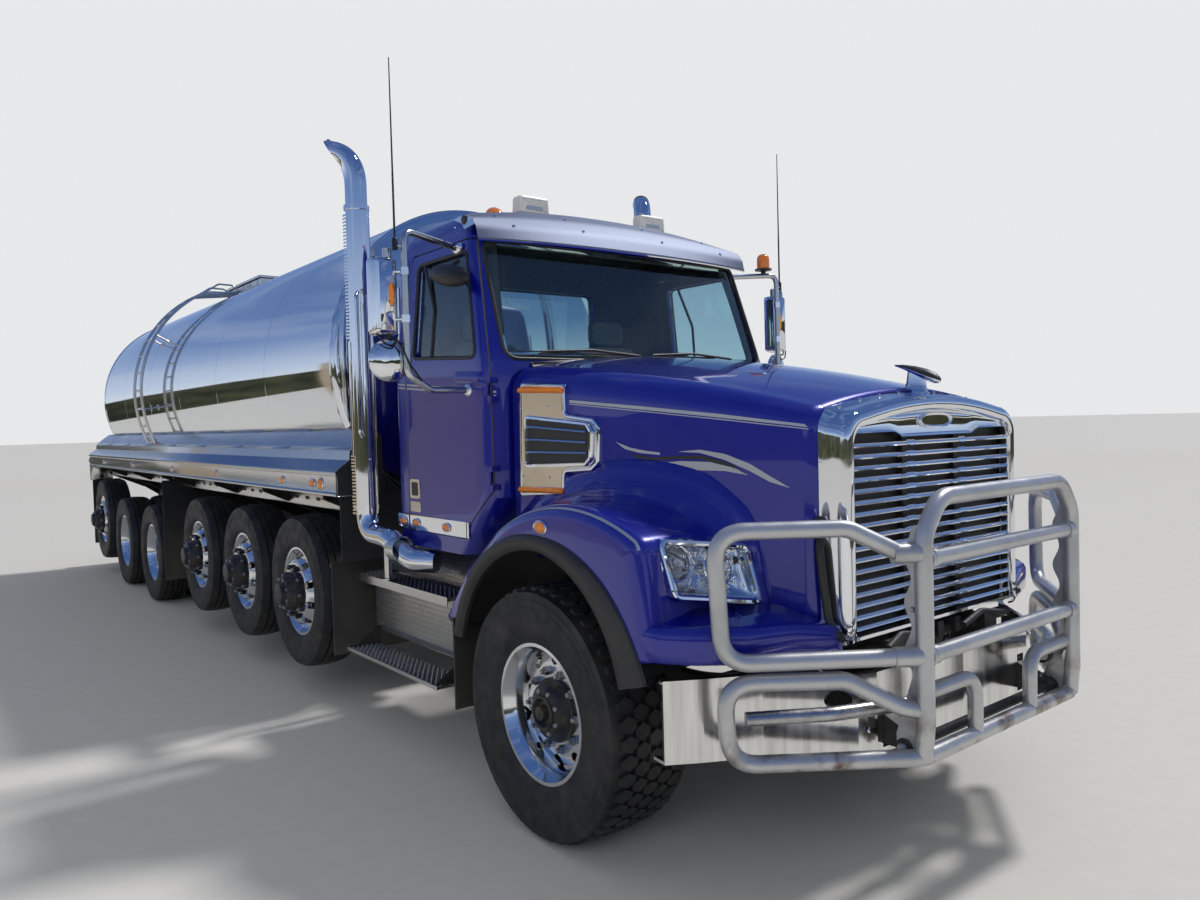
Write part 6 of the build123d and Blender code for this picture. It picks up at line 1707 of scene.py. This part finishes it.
turned(arm, [(2.61, 0.0), (2.61, 0.014), (2.64, 0.012), (2.668, 0.005), (2.67, 0.0)], 20, (1.49, 0.915, 0),
    2, axis="z")
tube(arm, [(1.425, 0.905, 2.2), (1.425, 0.905, 2.25)], 0.01, sides=14, mark=1)
tube(arm, [(1.47, 0.885, 2.236), (1.45, 0.868, 2.206), (1.41, 0.862, 2.212), (1.385, 0.846, 2.16),
    (TUBE_X, 0.826, 2.09), (1.3, 0.83, 2.01)], 0.0055, 0.04, 8, 5)
tube(arm, [(1.5, 0.89, 2.24), (1.47, 0.87, 2.19), (1.425, 0.866, 2.17), (1.4, 0.868, 2.236)], 0.0045, 0.04,
    8, 5)
aerial_x, aerial_y = TUBE_X + 0.042, TUBE_Y + 0.008
tube(arm, [(TUBE_X, TUBE_Y, 2.66), (aerial_x, aerial_y, 2.66)], 0.009, sides=12)
turned(arm, [(2.64, 0.0), (2.64, 0.014), (2.69, 0.014), (2.7, 0.007)], 18, (aerial_x, aerial_y, 0), 5,
    axis="z")
tube(arm, [(aerial_x, aerial_y, 2.69), (aerial_x, aerial_y, 2.92), (aerial_x, aerial_y, 3.555)],
    lambda p: 0.0055 - 0.003 * max(0.0, (p.z - 2.69) / 0.87), 0.01, 10, 5)
for i in range(26):
    turned(arm, [(2.72 + 0.011 * i, 0.0046), (2.7235 + 0.011 * i, 0.0062), (2.727 + 0.011 * i, 0.0046)], 10,
        (aerial_x, aerial_y, 0), 5, axis="z")
kinds = [chrome, black_trim, brushed, mirror_glass, amber, aerial_black]
beacon = Shape()
turned(beacon, [(2.733, 0.0), (2.733, 0.016), (2.766, 0.016), (2.766, 0.03), (2.768, 0.055), (2.772, 0.057),
    (2.778, 0.056), (2.78, 0.046)], 36, BEACON, 1, axis="z")
turned(beacon, [(2.78, 0.043)] + [(2.785 + 0.01 * i + d, 0.042 - 0.0006 * h) for i in range(5)
    for d, h in ((0, 0), (0.005, 2))] + [(2.84, 0.0415), (2.858, 0.038), (2.87, 0.028), (2.877, 0.014),
    (2.879, 0.0)], 40, BEACON, 4, axis="z")
down = Shape()
rows = []
for t in [i / 14 for i in range(15)]:
    size = sqrt(max(0.0, 1 - (2 * t - 1) ** 2))
    y, z = 0.745 + 0.4 * t, 2.52 + 0.075 * t
    rows.append([(1.052 + 0.012 + 0.05 * size * cos(radians(a)), y, z + 0.058 * size * sin(radians(a)))
        for a in range(-90, 91, 15)])
down.skin(rows, 5)
tube(down, [(1.0, 0.96, 2.64), (1.06, 0.95, 2.6)], 0.01, sides=12, mark=1)
for side, sign in SIDES:
    own = arm.on_side(sign)
    own.join((beacon if side == "left" else down).on_side(sign))
    piece_of(f"mirror_frame_{side}", own, kinds, f"door_{side}", [f"mirror_{side}"], crease=35)


# Sun visor and lamps: a curved sheet of dull stainless with riveted brackets, black beneath, over the
# windscreen. Five amber lamps and two white boxes stand on the roof, and more amber lamps and a red one
# are screwed to the bed's rails.
visor = Shape()
VISOR_HALF = 0.985
visor_profile = resampled(eased([(0.722, 2.735), (0.775, 2.825), (0.855, 2.905), (0.992, 2.972)], 0.045, 6),
    25)
profile_top = [(p.x, p.y) for p in visor_profile]


def visor_point(x, t, down=0.0):
    """A point on the sheet; t runs from its lower edge to its upper edge."""
    place = t * (len(profile_top) - 1)
    k = min(int(place), len(profile_top) - 2)
    y, z = [a + (b - a) * (place - k) for a, b in zip(profile_top[k], profile_top[k + 1])]
    out = abs(x) / VISOR_HALF
    y += 0.063 * (1 - t) * out ** 3 - 0.08 * t * out ** 3
    z -= 0.01 * out ** 2 + 0.088 * t * out ** 2.4
    return x, y + down * 0.7, z - down


visor_columns = [-VISOR_HALF + 2 * VISOR_HALF * i / 60 for i in range(61)]
heights = [0, 0.02] + [0.04 + 0.96 * i / 12 for i in range(13)]
visor.skin([[visor_point(x, t, -0.004 if t == 0.02 else 0) for x in visor_columns] for t in heights])
visor.skin([[visor_point(x, t, 0.006) for x in visor_columns] for t in heights], 1)
visor.skin([[visor_point(x, 0, d) for x in visor_columns] for d in (0, 0.003, 0.006)], 2)
for sign in (-1, 1):
    rows = []
    for back in (0, 0.5, 1.0):
        row = []
        for t in [0.38 + 0.62 * i / 8 for i in range(9)]:
            x, y, z = visor_point(sign * VISOR_HALF, t)
            row.append((x + sign * 0.008 * back, y + 0.095 * back, z - 0.014 * back))
        rows.append(row)
    visor.skin(rows, 2)
    x, y, z = visor_point(sign * VISOR_HALF, 0.72)
    oval(visor, (x + sign * 0.004, y + 0.048, z - 0.01), 0.022, 0.026,
        [(0, -0.002), (0, 0.004), (0.006, 0.01)], 1, 24, 2, (sign, 0, 0), (0, 1, 0))
for x, t in ((-0.377, 0.62), (-0.309, 0.33), (0.187, 0.62), (0.277, 0.33), (0.677, 0.62), (0.776, 0.33),
        (-0.84, 0.62), (-0.76, 0.33)):
    oval(visor, visor_point(x, t), 0.009, 0.009, [(0, -0.002), (0, 0.002), (0.003, 0.005)], 2, 14, 2,
        (0, -0.72, 0.69))
for x in (-0.8, -0.343, 0.232, 0.727):
    edge = [visor_point(x, t, 0.01)[1:] for t in (0.15, 0.3, 0.5, 0.7, 0.9)]
    plate(visor, edge + [(0.96, edge[-1][1] - 0.03), (0.85, 2.8)], "x", x - 0.004, 0.008, 2)
# The visor's stainless is coloured dark blue-grey: painted reflection of the sky, kept dark so the sun's
# broad highlight does not wash it white.
visor_painted_sky = Finish("visor_painted_sky", (0.25, 0.28, 0.36), 0.6, 1.0)
rubbed = visor_painted_sky.noise(2.2, 7.0, (1, 5, 5)) * 0.5 + visor_painted_sky.noise(160.0, 3.0, (1, 0.04, 0.04)) * 0.5
visor_painted_sky.set(base_color=visor_painted_sky.tones(rubbed, (0.12, 0.14, 0.2), (0.27, 0.3, 0.38)),
    roughness=rubbed * 0.16 + 0.52)
visor_painted_sky.raised(rubbed, 0.002, 0.35)
piece_of("visor_sheet", visor, [visor_painted_sky, black_trim, chrome], "root", ["sun_visor"],
    crease=35)

white_paint = Finish("white_case", (0.72, 0.72, 0.7), 0.35, 0.0, coat_weight=0.3)
white_paint.set(base_color=white_paint.tones(white_paint.noise(7.0, 6.0).held(0.5, 0.85),
    (0.74, 0.74, 0.73), (0.56, 0.55, 0.52)))
red_lens = Finish("red_lens", (0.45, 0.01, 0.008), 0.12, 0.0, coat_weight=0.6)
red_lens.set(base_color=red_lens.tones(red_lens.noise(40.0), (0.34, 0.006, 0.005), (0.55, 0.016, 0.012)))
lights = Shape()
for x in (-0.62, -0.31, 0.0, 0.31, 0.62):
    top = 2.931 - 0.004 * abs(x)
    oval(lights, (x, 1.2, top), 0.052, 0.074, [(0, 0), (0, 0.01), (0.006, 0.015)], 1, 28, 2, (0, 0, 1))
    rows = [[(x + 0.046 * size * cos(tau * k / 28), 1.2 + 0.02 * t + 0.068 * size * sin(tau * k / 28),
        top + 0.01 + 0.078 * t) for k in range(28)] for t, size in ((0, 1.0), (0.35, 0.99), (0.6, 0.9),
        (0.8, 0.7), (0.94, 0.38), (1.0, 0.01))]
    lights.skin(rows, 0, ring=True)
for x in (-0.447, 0.447):
    case = closed_line([(-0.105, 2.962), (0.105, 2.962), (0.098, 3.066), (-0.098, 3.066)], 0.02, 5)
    rows = [[(x + p.x, y, p.y) for p in shrunk(case, gap)] for gap, y in ((0.012, 1.13), (0.003, 1.128),
        (0.0, 1.118), (0.0, 1.066), (0.003, 1.056), (0.01, 1.051), (0.016, 1.05), (0.018, 1.0535))]
    lights.skin(rows, 2, ring=True)
    lights.face(rows[-1], 2)
    lights.face(rows[0], 2)
    plate(lights, closed_line([(x - 0.055, 2.99), (x + 0.055, 2.99), (x + 0.055, 3.012),
        (x - 0.055, 3.012)], 0.006, 3), "y", 1.051, 0.004, 5)
    for dx in (-0.06, 0.06):
        block(lights, x + dx - 0.012, x + dx + 0.012, 1.075, 1.105, 2.928, 2.964, 3)
markers = Shape()
for y, long, tall in ((2.3, 0.034, 0.034), (2.44, 0.046, 0.022),
        *((y, 0.036, 0.022) for y in (3.0, 4.6, 6.1, 7.9, 9.6))):
    oval(markers, (1.258, y, 1.446), long + 0.008, tall + 0.008,
        [(0, 0), (0.001, 0.008), (0.004, 0.011), (0.008, 0.008)], 1, 28, 2.4, *SIDEWAYS)
    oval(markers, (1.258, y, 1.446), long, tall, [(0, 0.004), (0.001, 0.012), (0.006, 0.017),
        (0.014, 0.019)], 0, 28, 2.4, *SIDEWAYS)
oval(markers, (1.215, 10.65, 1.4435), 0.058, 0.058, [(0, 0), (0, 0.01), (0.004, 0.014), (0.008, 0.01)], 1,
    36, 2, (0, 1, 0), (-1, 0, 0))
oval(markers, (1.215, 10.65, 1.4435), 0.05, 0.05, [(0, 0.004), (0, 0.016), (0.008, 0.022), (0.022, 0.025)],
    4, 36, 2, (0, 1, 0), (-1, 0, 0))
markers.mirrored()
lights.join(markers)
piece_of("roof_and_side_lamps", lights, [amber, chrome, white_paint, black_trim, red_lens, stripe_silver],
    "root", ["lamps"], crease=32)


# Cabin: two padded seats of woven cloth on boxes, and a moulded dash of grained vinyl with a steering
# wheel and round dials on its left.
cloth = Finish("seat_cloth", (0.3, 0.31, 0.32), 0.85)
weave = (cloth.along("x") * 180 % 1 - 0.5) * (cloth.along("z") * 180 % 1 - 0.5)
cloth.set(base_color=cloth.tones(cloth.noise(90.0, 4.0), (0.2, 0.21, 0.22), (0.38, 0.39, 0.4)))
cloth.raised(weave + cloth.noise(220.0, 2.0) * 0.3, 0.0012, 0.6)


def cushion(shape, middle, half, corner=0.34, lean=0.0, grooves=()):
    """A stuffed pad: a swollen box with stitched channels pressed across it."""
    rows = []
    for i in range(25):
        v = radians(-90 + 180 * i / 24)
        row = []
        for k in range(56):
            u = tau * k / 56
            a = [copysign(abs(f) ** corner, f) for f in (cos(v), sin(v))]
            b = [copysign(abs(f) ** corner, f) for f in (cos(u), sin(u))]
            x, y, z = a[0] * b[0] * half[0], a[0] * b[1] * half[1], a[1] * half[2]
            dent = sum(exp(-((x - g) / 0.012) ** 2) for g in grooves)
            y *= 1 - 0.1 * dent
            z *= 1 - 0.07 * dent
            row.append((middle[0] + x, middle[1] + y + lean * (z + half[2]), middle[2] + z))
        rows.append(row)
    shape.skin(rows, ring=True)


for side, sign in SIDES:
    x = 0.48 * sign
    pads = Shape()
    cushion(pads, (x, 1.35, 1.546), (0.238, 0.248, 0.064), 0.36, 0, (-0.14, 0.14))
    cushion(pads, (x, 1.5, 1.95), (0.236, 0.05, 0.335), 0.36, 0.11, (-0.14, 0.14))
    cushion(pads, (x, 1.594, 2.375), (0.136, 0.038, 0.08), 0.4)
    soft = piece_of(f"seat_pads_{side}", pads, [cloth], "root", ["seats"] if sign > 0 else (),
        crease=60)
    stand = Shape()
    box_line = closed_line([(x - 0.185, 1.2), (x + 0.185, 1.2), (x + 0.185, 1.555), (x - 0.185, 1.555)],
        0.03, 4)
    levels = ((0.0, 1.1555), (0.0, 1.2), (0.02, 1.23), (0.03, 1.38), (0.0, 1.42), (0.0, 1.478))
    stand.skin([[(p.x, p.y, z) for p in shrunk(box_line, gap)] for gap, z in levels], ring=True, ends=True)
    for dx in (-0.05, 0.05):
        tube(stand, [(x + dx, 1.59, 2.27), (x + dx, 1.594, 2.31)], 0.007, sides=10)
    piece_of(f"seat_stand_{side}", stand, [black_trim], "root", crease=35)
dash_vinyl = Finish("dash_vinyl", (0.03, 0.03, 0.032), 0.6)
dash_vinyl.set(base_color=dash_vinyl.tones(dash_vinyl.noise(50.0, 4.0), (0.022, 0.022, 0.024),
    (0.05, 0.05, 0.053)))
dash_vinyl.raised(dash_vinyl.noise(220.0, 3.0), 0.001, 0.5)
refinished("dashboard", dash_vinyl)
dials = Shape()
for x, z, size in ((0.36, 1.99, 0.05), (0.48, 2.0, 0.05), (0.6, 1.99, 0.05), (0.2, 1.96, 0.028),
        (0.12, 1.96, 0.028)):
    face = (0, 0.93, 0.36)
    spot = (x, 0.912 + (1.99 - z) * 0.25, z)
    oval(dials, spot, size, size, [(0, -0.01), (0, 0.006), (0.005, 0.009), (0.008, 0.004)], 0, 28, 2, face)
    oval(dials, spot, size * 0.8, size * 0.8, [(0, 0.002), (0, 0.004)], 1, 28, 2, face)
piece_of("dials", dials, [chrome, black_trim], "root", crease=35)


# Mudflaps: thick sheets of black rubber, scuffed grey towards the foot, hung from the frame behind
# and before the wheels.
flap_rubber = Finish("flap_rubber", (0.02, 0.02, 0.021), 0.6)
mud = flap_rubber.noise(5.0, 5.0) * (1 - flap_rubber.along("z").held(0.3, 1.1))
flap_rubber.set(base_color=flap_rubber.tones(mud, (0.013, 0.013, 0.014), (0.11, 0.1, 0.085)))
flap_rubber.raised(flap_rubber.noise(60.0, 4.0), 0.001, 0.4)
refinished("mudflaps", flap_rubber)
